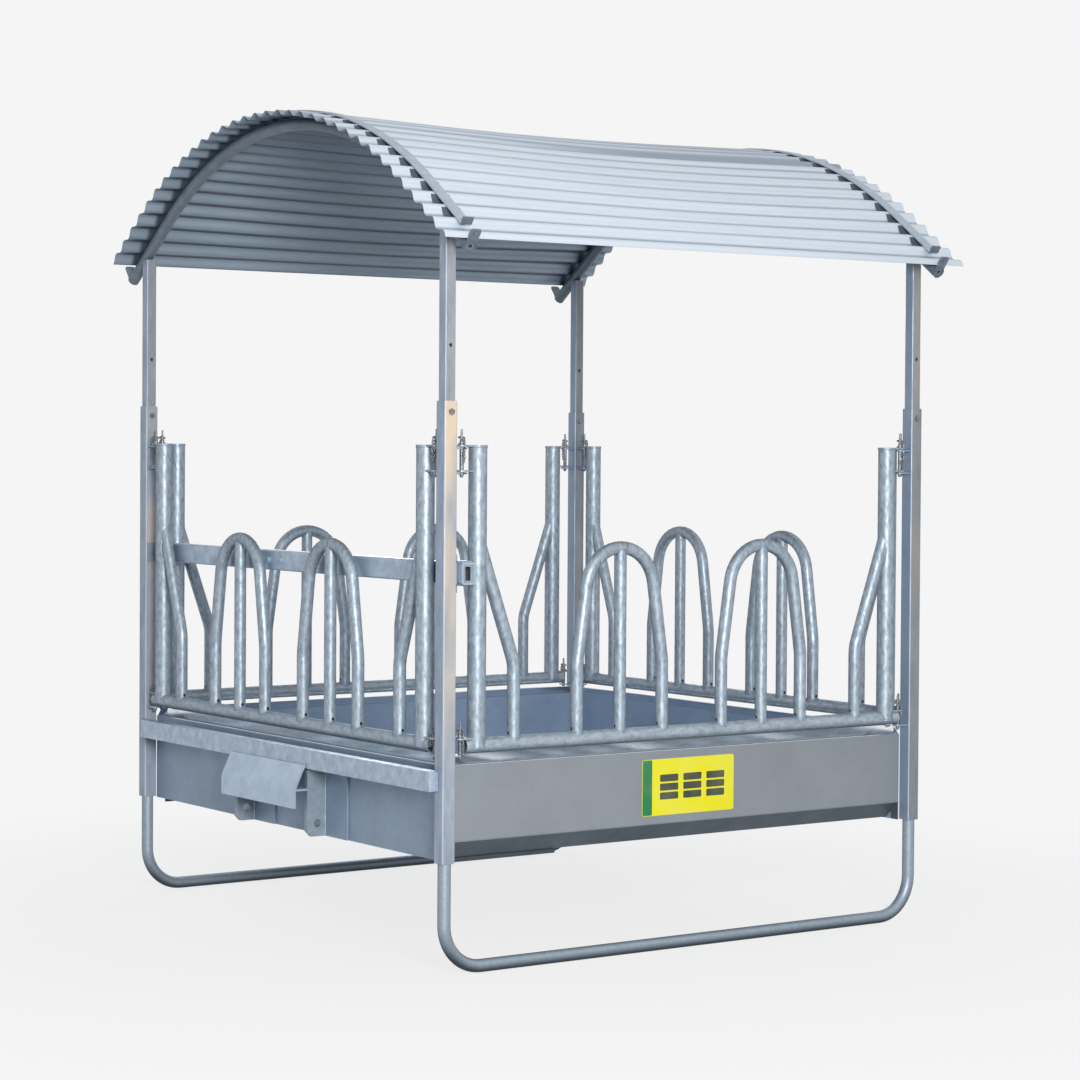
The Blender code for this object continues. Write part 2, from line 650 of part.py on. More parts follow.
def build_gates():
    """Four gates, each on an empty at its hinge."""
    frame_mesh = gate_frame_template()
    arch_mesh = arch_template()
    for name, gate in GATES.items():
        pivot = bpy.data.objects.new("hinge_" + name, None)
        PARTS.objects.link(pivot)
        pivot.location = (*gate["hinge"], 0)
        pivot.rotation_euler = (0, 0, gate["turn"])
        frame = place("gate_%s_frame" % name, frame_mesh.copy(), TUBE_ZINC)
        frame.parent = pivot
        smooth(frame)
        for letter, offset in (("a", -ARCH_X), ("b", ARCH_X)):
            arch = place("gate_%s_arch_%s" % (name, letter), arch_mesh.copy(), TUBE_ZINC)
            arch.parent = pivot
            arch.location = (GATE_SPAN / 2 + offset, 0, 0)
            smooth(arch)


def pin_mesh(name, tip, shoulder):
    """A turned drop pin: pointed shank, collar and grip."""
    grip_top = shoulder + PIN_COLLAR + PIN_GRIP
    profile = [(0, grip_top), (PIN_RADIUS * 0.7, grip_top), (PIN_RADIUS, grip_top - 0.003),
               (PIN_RADIUS, shoulder + PIN_COLLAR), (PIN_COLLAR_RADIUS, shoulder + PIN_COLLAR),
               (PIN_COLLAR_RADIUS, shoulder), (PIN_RADIUS, shoulder), (PIN_RADIUS, tip + 0.006),
               (PIN_RADIUS * 0.5, tip), (0, tip)]
    bm = bmesh.new()
    verts = [bm.verts.new((radius, 0, height)) for radius, height in profile]
    for pair in zip(verts, verts[1:]):
        bm.edges.new(pair)
    mesh = bpy.data.meshes.new(name + "_profile")
    bm.to_mesh(mesh)
    bm.free()
    turned = place(name + "_profile", mesh, tool=True)
    screw = turned.modifiers.new("turn", "SCREW")
    screw.steps = 8
    screw.render_steps = 8
    screw.use_merge_vertices = True
    screw.merge_threshold = 0.00001
    return evaluated_mesh(turned)


def build_pins():
    """The drop pins at both ends of each gate, upper and lower."""
    storeys = {
        "upper": pin_mesh("upper_pin", SECOND_EAR - 0.018, UPPER_EAR + EAR_PLATE + GAP),
        "lower": pin_mesh("lower_pin", GATE_RAIL_HEIGHT - GATE_RAIL_RADIUS - 0.022,
                          LOWER_EAR + EAR_PLATE + GAP),
    }
    for end in fitting_ends():
        for storey in PIN_STOREYS:
            name = "%s_pin_%s_%s" % (end["role"], end["gate"], storey)
            pin = place(name, storeys[storey].copy(), PIN_ZINC)
            pin.location = end["at"]
            smooth(pin)


def roof_point(travel, offset):
    """A point of the roof's section: travel along the crest line, offset inwards from it."""
    arc_girth = CREST_RADIUS * ARC_HALF_ANGLE
    side = 1 if travel >= 0 else -1
    along = min(abs(travel), arc_girth)
    angle = along / CREST_RADIUS
    run = abs(travel) - along
    radius = CREST_RADIUS - offset
    across = radius * math.sin(angle) + run * math.cos(angle)
    height = CREST_CENTRE + radius * math.cos(angle) - run * math.sin(angle)
    return side * across, height


def build_roof_sheets():
    """Three corrugated sheets lapped by one corrugation, the top one over the other two."""
    step = CORRUGATION_PITCH / CORRUGATION_STEPS
    for name, (first, count) in SHEETS.items():
        lift = LAP_LIFT if name == "top" else 0.0
        begin = EAVE_TRIM if name == "front" else 0
        end = count * CORRUGATION_STEPS - (EAVE_TRIM if name == "rear" else 0)
        profile = []
        for index in range(begin, end + 1):
            travel = FRONT_EAVE + first * CORRUGATION_PITCH + index * step
            phase = 2 * math.pi * index / CORRUGATION_STEPS
            depth = CORRUGATION_DEPTH * (1 + math.cos(phase)) / 2
            profile.append(roof_point(travel, depth - lift))
        sheet = folded_sheet("roof_sheet_" + name, profile, -ROOF_HALF_LENGTH, ROOF_HALF_LENGTH,
                             ROOF_STEEL, ROOF_ZINC, offset=0.0)
        smooth(sheet, 50)


def rib_route(x, reach=RIB_REACH):
    """The rib's centre line: straight ends, and a point under each corrugation between them."""
    bend_steps = 2 * math.ceil(ROOF_BEND / CORRUGATION_PITCH)
    travels = [-reach]
    travels += [ROOF_BEND * (2 * k / bend_steps - 1) for k in range(bend_steps + 1)]
    travels.append(reach)
    return [(x, *roof_point(travel, RIB_OFFSET)) for travel in travels]


def build_rib(name, x):
    """A round rib under the sheets with open ends and an upstanding tab at each end."""
    rib = bent_tube("roof_rib_" + name, rib_route(x), RIB_RADIUS, ROOF_ZINC)
    tabs = []
    for side in (-1, 1):
        tab = box("%s_rib_tab_%d" % (name, side), (-RIB_TAB_WIDTH / 2, -RIB_TAB / 2, RIB_RADIUS * 0.5),
                  (RIB_TAB_WIDTH / 2, RIB_TAB / 2, RIB_OFFSET + RIB_TAB_RISE), tool=True)
        tab.location = (x, *roof_point(side * (RIB_REACH - RIB_TAB_INSET), RIB_OFFSET))
        tab.rotation_euler = (-side * ARC_HALF_ANGLE, 0, 0)
        tabs.append(tab)
    join(rib, *tabs)
    cut(rib, bent_tube(name + "_rib_bore", rib_route(x, RIB_REACH + 0.01), TUBE_BORE, tool=True,
                       resolution=BORE_SIDES))


def build_roof_posts():
    """Square tubes that slide in the corner posts, saddled to the ribs, with height holes."""
    half = ROOF_POST_SIDE / 2
    bore = half - ROOF_POST_WALL
    bend_y, bend_z = roof_point(ROOF_BEND, RIB_OFFSET)
    top = bend_z - (POST_EDGE - bend_y) * math.tan(ARC_HALF_ANGLE)
    for name, (sx, sy) in CORNERS.items():
        x, y = sx * POST_EDGE, sy * POST_EDGE
        post = box("roof_post_" + name, (x - half, y - half, ROOF_POST_FOOT),
                   (x + half, y + half, top + half), POST_ZINC)
        removed = [box(name + "_roof_bore", (x - bore, y - bore, ROOF_POST_FOOT - 0.01),
                       (x + bore, y + bore, top + 0.05), tool=True),
                   bent_tube(name + "_saddle", rib_route(x), RIB_RADIUS + GAP, tool=True)]
        above = box(name + "_above_rib", (-0.05, -0.08, 0), (0.05, 0.08, 0.12), tool=True)
        above.location = (x, y, top)
        above.rotation_euler = (-sy * ARC_HALF_ANGLE, 0, 0)
        removed.append(above)
        for index in (-1, 0, 1):
            height = BOLT_HEIGHT + index * HOLE_PITCH
            removed.append(rod("%s_height_hole_%d" % (name, index), (x, y - half - 0.01, height),
                               (x, y + half + 0.01, height), BOLT_RADIUS + GAP, tool=True, sides=8))
        cut(post, *removed)


def build_height_bolts():
    """Clamp bolts through the front wall of each corner post."""
    face = POST_SIDE / 2
    for name, (sx, sy) in CORNERS.items():
        x, y = sx * POST_EDGE, sy * POST_EDGE
        outer = y - face - GAP
        head = rod("height_bolt_" + name, (x, outer - BOLT_HEAD, BOLT_HEIGHT), (x, outer, BOLT_HEIGHT),
                   BOLT_HEAD_RADIUS, PIN_ZINC, sides=6)
        tip = y - ROOF_POST_SIDE / 2 - GAP
        shank = rod(name + "_shank", (x, outer - BOLT_HEAD / 2, BOLT_HEIGHT), (x, tip, BOLT_HEIGHT),
                    BOLT_RADIUS, tool=True, sides=10)
        join(head, shank)


def build_straps():
    """Flat hold-down straps from crest to crest with upturned ends."""
    rest = -(LAP_LIFT + ROOF_STEEL / 2 + GAP)
    tab = rest - STRAP_TAB_RISE
    crests = [FRONT_EAVE + (k + 0.5) * CORRUGATION_PITCH for k in range(STRAP_STOP, CORRUGATIONS - STRAP_STOP)]
    line = [roof_point(crests[0], tab)]
    line += [roof_point(travel, rest) for travel in crests]
    line.append(roof_point(crests[-1], tab))
    for name, x in (("left", -POST_EDGE), ("right", POST_EDGE)):
        strap = folded_sheet("roof_strap_" + name, line, x - STRAP_WIDTH / 2, x + STRAP_WIDTH / 2,
                             STRAP_PLATE, ROOF_ZINC, offset=1.0)
        smooth(strap, 20)


def build():
    """Make every piece."""
    for name, signs in CORNERS.items():
        build_corner_post(name, signs)
    build_skid("front", -POST_EDGE)
    build_skid("rear", POST_EDGE)
    build_tub()
    build_hitch()
    build_top_rail()
    build_gates()
    build_pins()
    build_roof_sheets()
    build_rib("left", -POST_EDGE)
    build_rib("right", POST_EDGE)
    build_roof_posts()
    build_height_bolts()
    build_straps()


build()
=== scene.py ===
# %% [markdown]
# # Covered square bale feeder
# The feeder stands on two bent tubes, holds a shallow steel tub between four square posts and
# has a hinged feed gate on each side. A barrel roof of corrugated sheet slides up and down on it.
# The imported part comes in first. It fixes every place and size, and this script gives each piece
# the shape and finish that the eye sees.

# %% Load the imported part
from math import asin, atan2, copysign, cos, degrees, hypot, pi, radians, sin, sqrt, tan

import bmesh
import bpy
from mathutils import Matrix, Vector, noise


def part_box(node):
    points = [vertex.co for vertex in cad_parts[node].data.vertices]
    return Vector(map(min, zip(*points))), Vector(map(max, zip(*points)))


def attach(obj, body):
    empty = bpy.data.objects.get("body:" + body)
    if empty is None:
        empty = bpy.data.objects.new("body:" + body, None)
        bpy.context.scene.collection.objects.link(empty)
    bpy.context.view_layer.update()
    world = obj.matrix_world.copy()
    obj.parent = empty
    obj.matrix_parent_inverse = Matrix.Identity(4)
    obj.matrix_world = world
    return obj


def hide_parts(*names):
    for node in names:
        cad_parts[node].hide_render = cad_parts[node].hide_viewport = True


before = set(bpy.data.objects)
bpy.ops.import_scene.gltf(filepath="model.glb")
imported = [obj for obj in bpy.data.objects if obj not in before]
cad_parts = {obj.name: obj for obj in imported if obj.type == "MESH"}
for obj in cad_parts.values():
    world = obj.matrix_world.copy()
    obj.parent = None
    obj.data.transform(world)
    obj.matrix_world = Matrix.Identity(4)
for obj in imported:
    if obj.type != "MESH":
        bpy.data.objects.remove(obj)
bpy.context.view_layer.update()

# %% [markdown]
# ## Colours and nodes
# Colours are written as they look on a screen, and a shader wants them linear, so one function
# converts them. A second small function adds any node with its settings and its links. A long
# node tree then reads from top to bottom like a recipe.

# %% Colour and node helpers
def linear(code):
    """An sRGB hex colour as linear red, green, blue and alpha."""
    levels = [int(code[k:k + 2], 16) / 255 for k in (1, 3, 5)]
    curve = [v / 12.92 if v <= 0.04045 else ((v + 0.055) / 1.055) ** 2.4 for v in levels]
    return (*curve, 1.0)


def link(tree, node, links):
    """Link sources into a node's inputs; a node as a source stands for its first output."""
    for key, source in links.items():
        output = source if isinstance(source, bpy.types.NodeSocket) else source.outputs[0]
        tree.links.new(output, node.inputs[key])


def add(tree, kind, settings=None, links=None):
    """Add one shader node, set its properties and sockets, and link sources into it."""
    made = tree.nodes.new("ShaderNode" + kind)
    for key, value in (settings or {}).items():
        if isinstance(key, int) or key in made.inputs:
            made.inputs[key].default_value = value
        else:
            setattr(made, key, value)
    link(tree, made, links or {})
    return made


def new_material(name, code):
    """A new material, its node tree and its shader; the colour also shows in the viewport."""
    material = bpy.data.materials.new(name)
    material.use_nodes = True
    material.diffuse_color = linear(code)
    return material, material.node_tree, material.node_tree.nodes["Principled BSDF"]


print("mid grey is", [round(v, 3) for v in linear("#808080")])

# %% [markdown]
# ## Hot-dip galvanised steel
# Every steel piece was dipped in molten zinc after welding. Zinc freezes in patches called
# spangle, a few millimetres to some centimetres wide, and weathers to a dull blue grey.
# The recipe mixes a pale and a deep zinc colour by a soft noise, the cloudy bloom, and by Voronoi
# cells, the spangle. The same mix drives the roughness, so pale patches shine a little more.
# Bump from a finer noise gives the slightly lumpy skin that a dipped coat has.

# %% One recipe for dipped and rolled zinc
MM = 1000.0  # a texture's scale counts per metre, and the sizes here are in millimetres


def zinc(name, pale, deep, bloom, spangle, rough, metal, skin=0.35, contrast=1.0,
         stretch=(1, 1, 1), stain=None, stain_size=150, stain_share=0.5, film=None, gloss=0.5,
         edge="#ffffff"):
    """A zinc coat. Bloom, spangle and stain sizes are in millimetres, film is the colour that a
    face's stored amount of dirt and painted shade mixes in, and edge tints what the zinc mirrors at
    a glancing angle."""
    material, tree, shader = new_material(name, pale)
    shader.inputs["Metallic"].default_value = metal
    shader.inputs["Specular IOR Level"].default_value = gloss
    shader.inputs["Specular Tint"].default_value = linear(edge)
    place = add(tree, "TexCoord").outputs["Object"]
    laid = add(tree, "Mapping", {"Scale": stretch}, {"Vector": place})
    clouds = add(tree, "TexNoise", {"Scale": MM / bloom, "Detail": 4.0, "Roughness": 0.6},
                 {"Vector": laid})
    cells = add(tree, "TexVoronoi", {"Scale": MM / spangle}, {"Vector": laid})
    reach = 0.2 / contrast
    bloomed = add(tree, "MapRange",
                  {"From Min": 0.5 - reach, "From Max": 0.5 + reach, "To Max": 0.75},
                  {"Value": clouds})
    flecks = add(tree, "Math", {"operation": "MULTIPLY", 1: 0.25 * contrast},
                 {0: cells.outputs["Color"]})
    mixed = add(tree, "Math", {"operation": "ADD", "use_clamp": True},
                {0: bloomed, 1: flecks})
    colour = add(tree, "Mix", {"data_type": "RGBA", 6: linear(deep), 7: linear(pale)},
                 {0: mixed}).outputs[2]
    if stain:
        # Stains show in some patches only, and fade out towards the foot of the piece; on the
        # posts' Y walls they are partly real staining and partly painted warm light
        wide = add(tree, "TexNoise", {"Scale": MM / stain_size, "Detail": 3.0},
                   {"Vector": laid})
        masked = add(tree, "MapRange",
                     {"From Min": 0.42, "From Max": 0.6, "To Max": stain_share},
                     {"Value": wide})
        height = add(tree, "SeparateXYZ", None, {0: place}).outputs[2]
        raised = add(tree, "MapRange", {"From Min": 0.6, "From Max": 1.35},
                     {"Value": height})
        amount = add(tree, "Math", {"operation": "MULTIPLY"},
                     {0: masked, 1: raised})
        colour = add(tree, "Mix", {"data_type": "RGBA", 7: linear(stain)},
                     {0: amount, 6: colour}).outputs[2]
    if film:
        # The film darkens each face by its stored amount: painted shade on undersides, in the
        # roof's troughs and at its ribs, and real mud on the skids' low runs
        dirt_and_shade_amount = add(tree, "Attribute", {"attribute_name": "dust_and_shade"})
        colour = add(tree, "Mix", {"data_type": "RGBA", 7: linear(film)},
                     {0: dirt_and_shade_amount.outputs["Fac"], 6: colour}).outputs[2]
    dull = add(tree, "MapRange", {"To Min": rough + 0.08, "To Max": rough - 0.06},
               {"Value": mixed})
    lumps = add(tree, "TexNoise", {"Scale": 3 * MM / bloom, "Detail": 3.0},
                {"Vector": laid})
    bump = add(tree, "Bump", {"Strength": skin, "Distance": 0.0006},
               {"Height": lumps})
    link(tree, shader, {"Base Color": colour, "Roughness": dull, "Normal": bump})
    return material


# Each finish: pale and deep colour, then bloom, spangle, roughness and metal share

# Round tube is dipped whole: bright with small flecks drawn out along the tube
TUBE_ZINC = zinc("galvanised_round_tube", "#b0bdc9", "#7b8995", 11, 6, 0.46, 0.55,
                 stretch=(1, 1, 0.4), contrast=1.1, skin=0.45, gloss=0.4, edge="#64707b")
# Rails lie flat, so their flecks are drawn out along X and Y
# Its film darkens the rail's underside, which is painted shade
RAIL_ZINC = zinc("galvanised_gate_rail", "#bbc7d1", "#8795a3", 12, 6, 0.46, 0.5,
                 stretch=(0.5, 0.5, 1), contrast=0.9, skin=0.4, film="#505e6c", gloss=0.4,
                 edge="#64707b")
# The skids stand in mud and dung, so their low runs stay dark, and darkest underneath, which is
# painted shade
SKID_ZINC = zinc("galvanised_skid_tube", "#abb8c4", "#8997a4", 14, 7, 0.42, 0.5, contrast=0.6,
                 film="#434d57", gloss=0.4, edge="#4a545e")
# Square tube: each post's walls are lit and shaded copies of one zinc. The cool X walls are painted
# shade, and the Y walls are warm on the hitch side of the feeder, painted warm light with some real
# staining, and plain grey on the other side
COOL_SHADE_POST = zinc("galvanised_post_wall_painted_shade", "#a9b7c7", "#8595a8", 45, 12, 0.46, 0.4,
                 stretch=(1, 1, 0.35))
WARM_LIGHT_AND_STAIN_POST = zinc("galvanised_post_wall_warm_light_and_stain", "#a6b1bf", "#8793a2", 40, 12, 0.5, 0.3,
                 stretch=(1, 1, 0.3), stain="#dac8b0", stain_size=240, stain_share=0.95,
                 contrast=1.2)
PLAIN_POST = zinc("galvanised_post_grey_wall", "#8f979f", "#757e87", 50, 12, 0.5, 0.3,
                  stretch=(1, 1, 0.35), stain="#a59c92")
UPPER_POST = zinc("galvanised_roof_post_wall", "#a6aab2", "#8a8f98", 45, 12, 0.48, 0.35,
                  stretch=(1, 1, 0.35))
# The rounded corners of the tube are a little paler than its walls, a painted highlight along each
# edge
POST_EDGE_HIGHLIGHT = zinc("galvanised_post_corner", "#b4bdca", "#949eac", 40, 10, 0.5, 0.3,
                 stretch=(1, 1, 0.2), gloss=0.3)
# Tub sheet is smooth, mid grey and even; its rim takes a paler, glossier copy, which is a painted
# highlight, and its slanting foot a dark copy, which is painted shade
TUB_ZINC = zinc("galvanised_tub_sheet", "#91989f", "#81888f", 220, 20, 0.5, 0.15, skin=0.1,
                contrast=0.6)
RIM_HIGHLIGHT_ZINC = zinc("galvanised_tub_rim_painted_highlight", "#f6fafd", "#dfe8f0", 160, 14, 0.14, 0.9, skin=0.06)
FOOT_SHADE_ZINC = zinc("galvanised_tub_foot_painted_shade", "#525f69", "#434f59", 160, 16, 0.55, 0.1, skin=0.1)
# The sole plate under the tub is nearly black: painted shade, with some real dirt
SOLE_DIRT_AND_SHADE_ZINC = zinc("galvanised_sole_plate_dirt_and_shade", "#3a454e", "#2a343d", 90, 16, 0.6, 0.1, skin=0.2)
INNER_ZINC = zinc("galvanised_tub_inside", "#9aadc5", "#8297b0", 150, 16, 0.5, 0.2, skin=0.1)
END_ZINC = zinc("galvanised_tub_end", "#93a5ba", "#8193a8", 150, 18, 0.46, 0.4, skin=0.15,
                contrast=0.8)
# Thick plate and channel cool slowly, so their spangle is coarse and mottled
PLATE_ZINC = zinc("galvanised_plate", "#bccbdb", "#93a5b9", 38, 14, 0.45, 0.6)
# The beam's top lies level to the sky, and a darker, more metallic copy of the plate on it is
# painted shade that keeps it from glaring
BEAM_TOP_SHADE_ZINC = zinc("galvanised_beam_top_painted_shade", "#a7b6c6", "#8fa0b2", 40, 14, 0.45, 0.85)
# The lugs carry the load of the hitch and are of duller plate, and so are the rail's clamps
LUG_ZINC = zinc("galvanised_hitch_lug", "#98a6b1", "#84929e", 26, 12, 0.5, 0.4, contrast=1.3)
HOOD_ZINC = zinc("galvanised_hood", "#bccde0", "#a5b8cd", 70, 16, 0.42, 0.6, skin=0.5)
# Corrugated sheet comes off a coating line: pale and even, with faint streaks along the sheet
# Its film is painted shade in the troughs and beside the top sheet's lap
ROOF_ZINC = zinc("galvanised_roof_sheet", "#dbe5ef", "#cbd6e2", 120, 7, 0.42, 0.35,
                 stretch=(0.12, 1, 1), skin=0.1, contrast=0.8, film="#96a3b1")
# The underside of the sheets is a darker copy of the top's zinc, which is painted shade, and its
# film darkens it further where it lies level and at the ribs, painted shade too
UNDERSIDE_SHADE_ZINC = zinc("galvanised_roof_underside_painted_shade", "#b4c4d3", "#98a8b8", 200, 9, 0.45, 0.35,
                  stretch=(0.2, 1, 1), skin=0.1, film="#3c4a56")
# Straps and ribs are flat bar and tube from the same line; the ribs hang in the roof's shade, and
# their darker colour, which the straps' upturned ends share, is painted shade
STRAP_ZINC = zinc("galvanised_strap", "#bcc8d3", "#a3b1be", 40, 10, 0.44, 0.35)
RIB_SHADE_ZINC = zinc("galvanised_rib_tube", "#76838f", "#616e7a", 40, 11, 0.5, 0.25)
# Painted shadow of each strap, on the troughs beside it
STRAP_SHADOW_ZINC = zinc("painted_strap_shadow_on_zinc", "#586673", "#424e5a", 30, 8, 0.7, 0.05)
# Pins, bolts and chain are thin plated, and darker than the dipped steel
PIN_ZINC = zinc("zinc_plated_hardware", "#8f9498", "#585e63", 12, 5, 0.44, 0.6, contrast=1.4)
print("finishes:", len(bpy.data.materials))

# %% [markdown]
# ## Shapes from operators
# Most of the feeder is tube, box tube, folded sheet and flat plate. Each helper starts from a
# small shape, such as one circle or one line, and lets operators pull, spin, bevel and thicken
# it. Every helper hands back a closed mesh whose faces point outwards, so pieces can simply be
# gathered into one.

# %% Gather, turn and name pieces
def gather(*parts):
    """Put several meshes into one."""
    whole = bmesh.new()
    for part in parts:
        mesh = bpy.data.meshes.new("gathered")
        part.to_mesh(mesh)
        part.free()
        whole.from_mesh(mesh)
        bpy.data.meshes.remove(mesh)
    return whole


def moved(bm, at=(0, 0, 0), turn=0.0, axis="Z", tip=0.0):
    """Tip a mesh about X, turn it, then carry it to its place."""
    matrix = (Matrix.Translation(at) @ Matrix.Rotation(turn, 4, axis)
              @ Matrix.Rotation(tip, 4, "X"))
    bmesh.ops.transform(bm, matrix=matrix, verts=bm.verts)
    return bm


def placed(name, data):
    """A new object that holds the data, linked to the scene."""
    made = bpy.data.objects.new(name, data)
    bpy.context.scene.collection.objects.link(made)
    return made


def show(bm, name, finishes, body, node=None, angle=40):
    """Make the piece an object on its body; shading breaks at edges sharper than the angle.

    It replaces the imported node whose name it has, with a last word added, or the node given, or
    none where the node is empty text.
    """
    mesh = bpy.data.meshes.new(name)
    bm.to_mesh(mesh)
    bm.free()
    for finish in finishes if isinstance(finishes, list) else [finishes]:
        mesh.materials.append(finish)
    mesh.shade_smooth()
    mesh.set_sharp_from_angle(angle=radians(angle))
    piece = placed(name, mesh)
    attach(piece, body)
    if node is None:
        node = name.rsplit("_", 1)[0]
    if node:
        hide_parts(node)
    # Broken edges would tilt the light on flat faces, so wide faces keep their own normals
    flat = piece.modifiers.new("flat_faces", "WEIGHTED_NORMAL")
    flat.keep_sharp = True


# %% Round tube: one circle pulled along runs and spun round bends
def only(geom, kind):
    """The elements of one kind in what an operator hands back."""
    return [part for part in geom if isinstance(part, kind)]


def drag(bm, edges, shift):
    """Extrude edges by a shift, and hand back the edges at the far end."""
    drawn = bmesh.ops.extrude_edge_only(bm, edges=edges)["geom"]
    bmesh.ops.translate(bm, vec=shift, verts=only(drawn, bmesh.types.BMVert))
    return [edge for edge in only(drawn, bmesh.types.BMEdge) if len(edge.link_faces) == 1]


def clean(bm):
    """Merge points that lie on each other, and turn all faces outwards."""
    bmesh.ops.remove_doubles(bm, verts=bm.verts, dist=0.00001)
    bmesh.ops.recalc_face_normals(bm, faces=bm.faces)
    return bm


def tube(points, radius, wall=0.0, bend=0.0, sides=24, steps=8):
    """A round tube through corner points; a list of bends gives each corner its own radius."""
    points = [Vector(point) for point in points]
    bends = bend if isinstance(bend, list) else [bend] * (len(points) - 2)
    bm = bmesh.new()
    here = points[0]
    ahead = (points[1] - here).normalized()
    facing = Matrix.Translation(here) @ ahead.to_track_quat("Z", "Y").to_matrix().to_4x4()
    bmesh.ops.create_circle(bm, segments=sides, radius=radius, matrix=facing)
    edges = bm.edges[:]
    if not wall:
        bmesh.ops.contextual_create(bm, geom=edges)
    for corner, after, bent in zip(points[1:], points[2:], bends):
        after = (after - corner).normalized()
        angle = ahead.angle(after)
        setback = bent * tan(angle / 2)
        stop = corner - ahead * setback
        edges = drag(bm, edges, stop - here)
        side = (after - ahead * after.dot(ahead)).normalized()
        turn = bmesh.ops.spin(bm, geom=edges, cent=stop + side * bent,
                              axis=ahead.cross(after).normalized(), angle=angle, steps=steps)
        edges = only(turn["geom_last"], bmesh.types.BMEdge)
        here = corner + after * setback
        ahead = after
    edges = drag(bm, edges, points[-1] - here)
    if not wall:
        bmesh.ops.contextual_create(bm, geom=edges)
    clean(bm)
    if wall:
        bmesh.ops.solidify(bm, geom=list(bm.faces), thickness=wall)
    return bm


# %% Square tube, block, flat plate and folded sheet
def rounded(bm, geom, offset, segments, affect="EDGES"):
    """Bevel edges, or the corner points of a flat outline."""
    bmesh.ops.bevel(bm, geom=geom, offset=offset, segments=segments, profile=0.5, affect=affect,
                    material=-1)


def thicken(bm, thickness, way=(0, 0, 0)):
    """Face a sheet outwards, or towards a way, and give it its thickness on the other side."""
    bmesh.ops.recalc_face_normals(bm, faces=bm.faces)
    way = Vector(way)
    main = max(bm.faces, key=lambda face: abs(face.normal.dot(way)) * face.calc_area())
    if main.normal.dot(way) < 0:
        bmesh.ops.reverse_faces(bm, faces=bm.faces)
    bmesh.ops.solidify(bm, geom=list(bm.faces), thickness=thickness)
    return bm


def polyline(bm, places):
    """A chain of edges through the places: its points and its edges."""
    verts = [bm.verts.new(place) for place in places]
    return verts, [bm.edges.new(pair) for pair in zip(verts, verts[1:])]


def block(low, high, edge=0.0):
    """A solid block between two corners, its edges broken by a small bevel."""
    low, high = Vector(low), Vector(high)
    bm = bmesh.new()
    bmesh.ops.create_cube(bm, size=1.0)
    bmesh.ops.scale(bm, vec=high - low, verts=bm.verts)
    bmesh.ops.translate(bm, vec=(low + high) / 2, verts=bm.verts)
    if edge:
        rounded(bm, list(bm.edges), edge, 2)
    return bm


def box_tube(low, high, wall, corner, axis=2):
    """A hollow square or rectangular tube, open at both ends of its axis."""
    bm = block(low, high)
    ends = [face for face in bm.faces if abs(face.normal[axis]) > 0.9]
    bmesh.ops.delete(bm, geom=ends, context="FACES_ONLY")
    rounded(bm, [edge for edge in bm.edges if len(edge.link_faces) == 2], corner, 4)
    return thicken(bm, wall)


def plate(outline, thickness, edge=0.0008, corner=0.0, corners=()):
    """A flat plate about z = 0, its outline in XY; corners lists the points to round."""
    bm = bmesh.new()
    verts = [bm.verts.new((x, y, -thickness / 2)) for x, y in outline]
    face = bm.faces.new(verts)
    if corner:
        rounded(bm, [verts[k] for k in corners or range(len(verts))], corner, 5, "VERTICES")
        face = bm.faces[:][0]
    drawn = bmesh.ops.extrude_face_region(bm, geom=[face])["geom"]
    bmesh.ops.translate(bm, vec=(0, 0, thickness), verts=only(drawn, bmesh.types.BMVert))
    bmesh.ops.recalc_face_normals(bm, faces=bm.faces)
    if edge:
        level = [e for e in bm.edges if abs(e.verts[0].co.z - e.verts[1].co.z) < 1e-6]
        rounded(bm, [e for e in level if e.calc_face_angle(0) > 1.0], edge, 1)
    return bm


def folded(line, axis, low, high, thickness, bend, outward=(0, -1, 0)):
    """A sheet folded along its outer line and given its thickness on the inner side.

    The line holds (across, height) pairs; across is Y for a sheet drawn along X, else X.
    """
    bm = bmesh.new()
    along_x = axis == "X"
    edges = polyline(bm, [(low, a, h) if along_x else (a, low, h) for a, h in line])[1]
    drag(bm, edges, (high - low, 0, 0) if along_x else (0, high - low, 0))
    rounded(bm, [edge for edge in bm.edges if len(edge.link_faces) == 2], bend, 4)
    return thicken(bm, thickness, outward)


# %% Turned pieces, nuts and welds
WASHER = 0.0018


def spun(bm, geom, sides):
    """Spin a profile a full turn about Z into a closed skin."""
    bmesh.ops.spin(bm, geom=geom, cent=(0, 0, 0), axis=(0, 0, 1), angle=2 * pi, steps=sides,
                   use_merge=True)
    return clean(bm)


def turned(profile, sides):
    """A piece turned on a lathe, from (radius, height) points."""
    bm = bmesh.new()
    verts, edges = polyline(bm, [(radius, 0, height) for radius, height in profile])
    return spun(bm, verts + edges, sides)


def rod(radius, low, high, sides):
    """A plain round bar along Z between two heights."""
    return turned([(0, low), (radius, low), (radius, high), (0, high)], sides)


def ring(radius, wire, sides=20, wire_sides=8, stretch=0.0):
    """A wire ring lying flat; stretch pulls its halves apart into a chain link."""
    bm = bmesh.new()
    facing = Matrix.Translation((radius, 0, 0)) @ Matrix.Rotation(pi / 2, 4, "X")
    bmesh.ops.create_circle(bm, segments=wire_sides, radius=wire, matrix=facing)
    spun(bm, bm.verts[:] + bm.edges[:], sides)
    for vert in bm.verts:
        if abs(vert.co.y) > 1e-6 and stretch:
            vert.co.y += copysign(stretch, vert.co.y)
    return bm


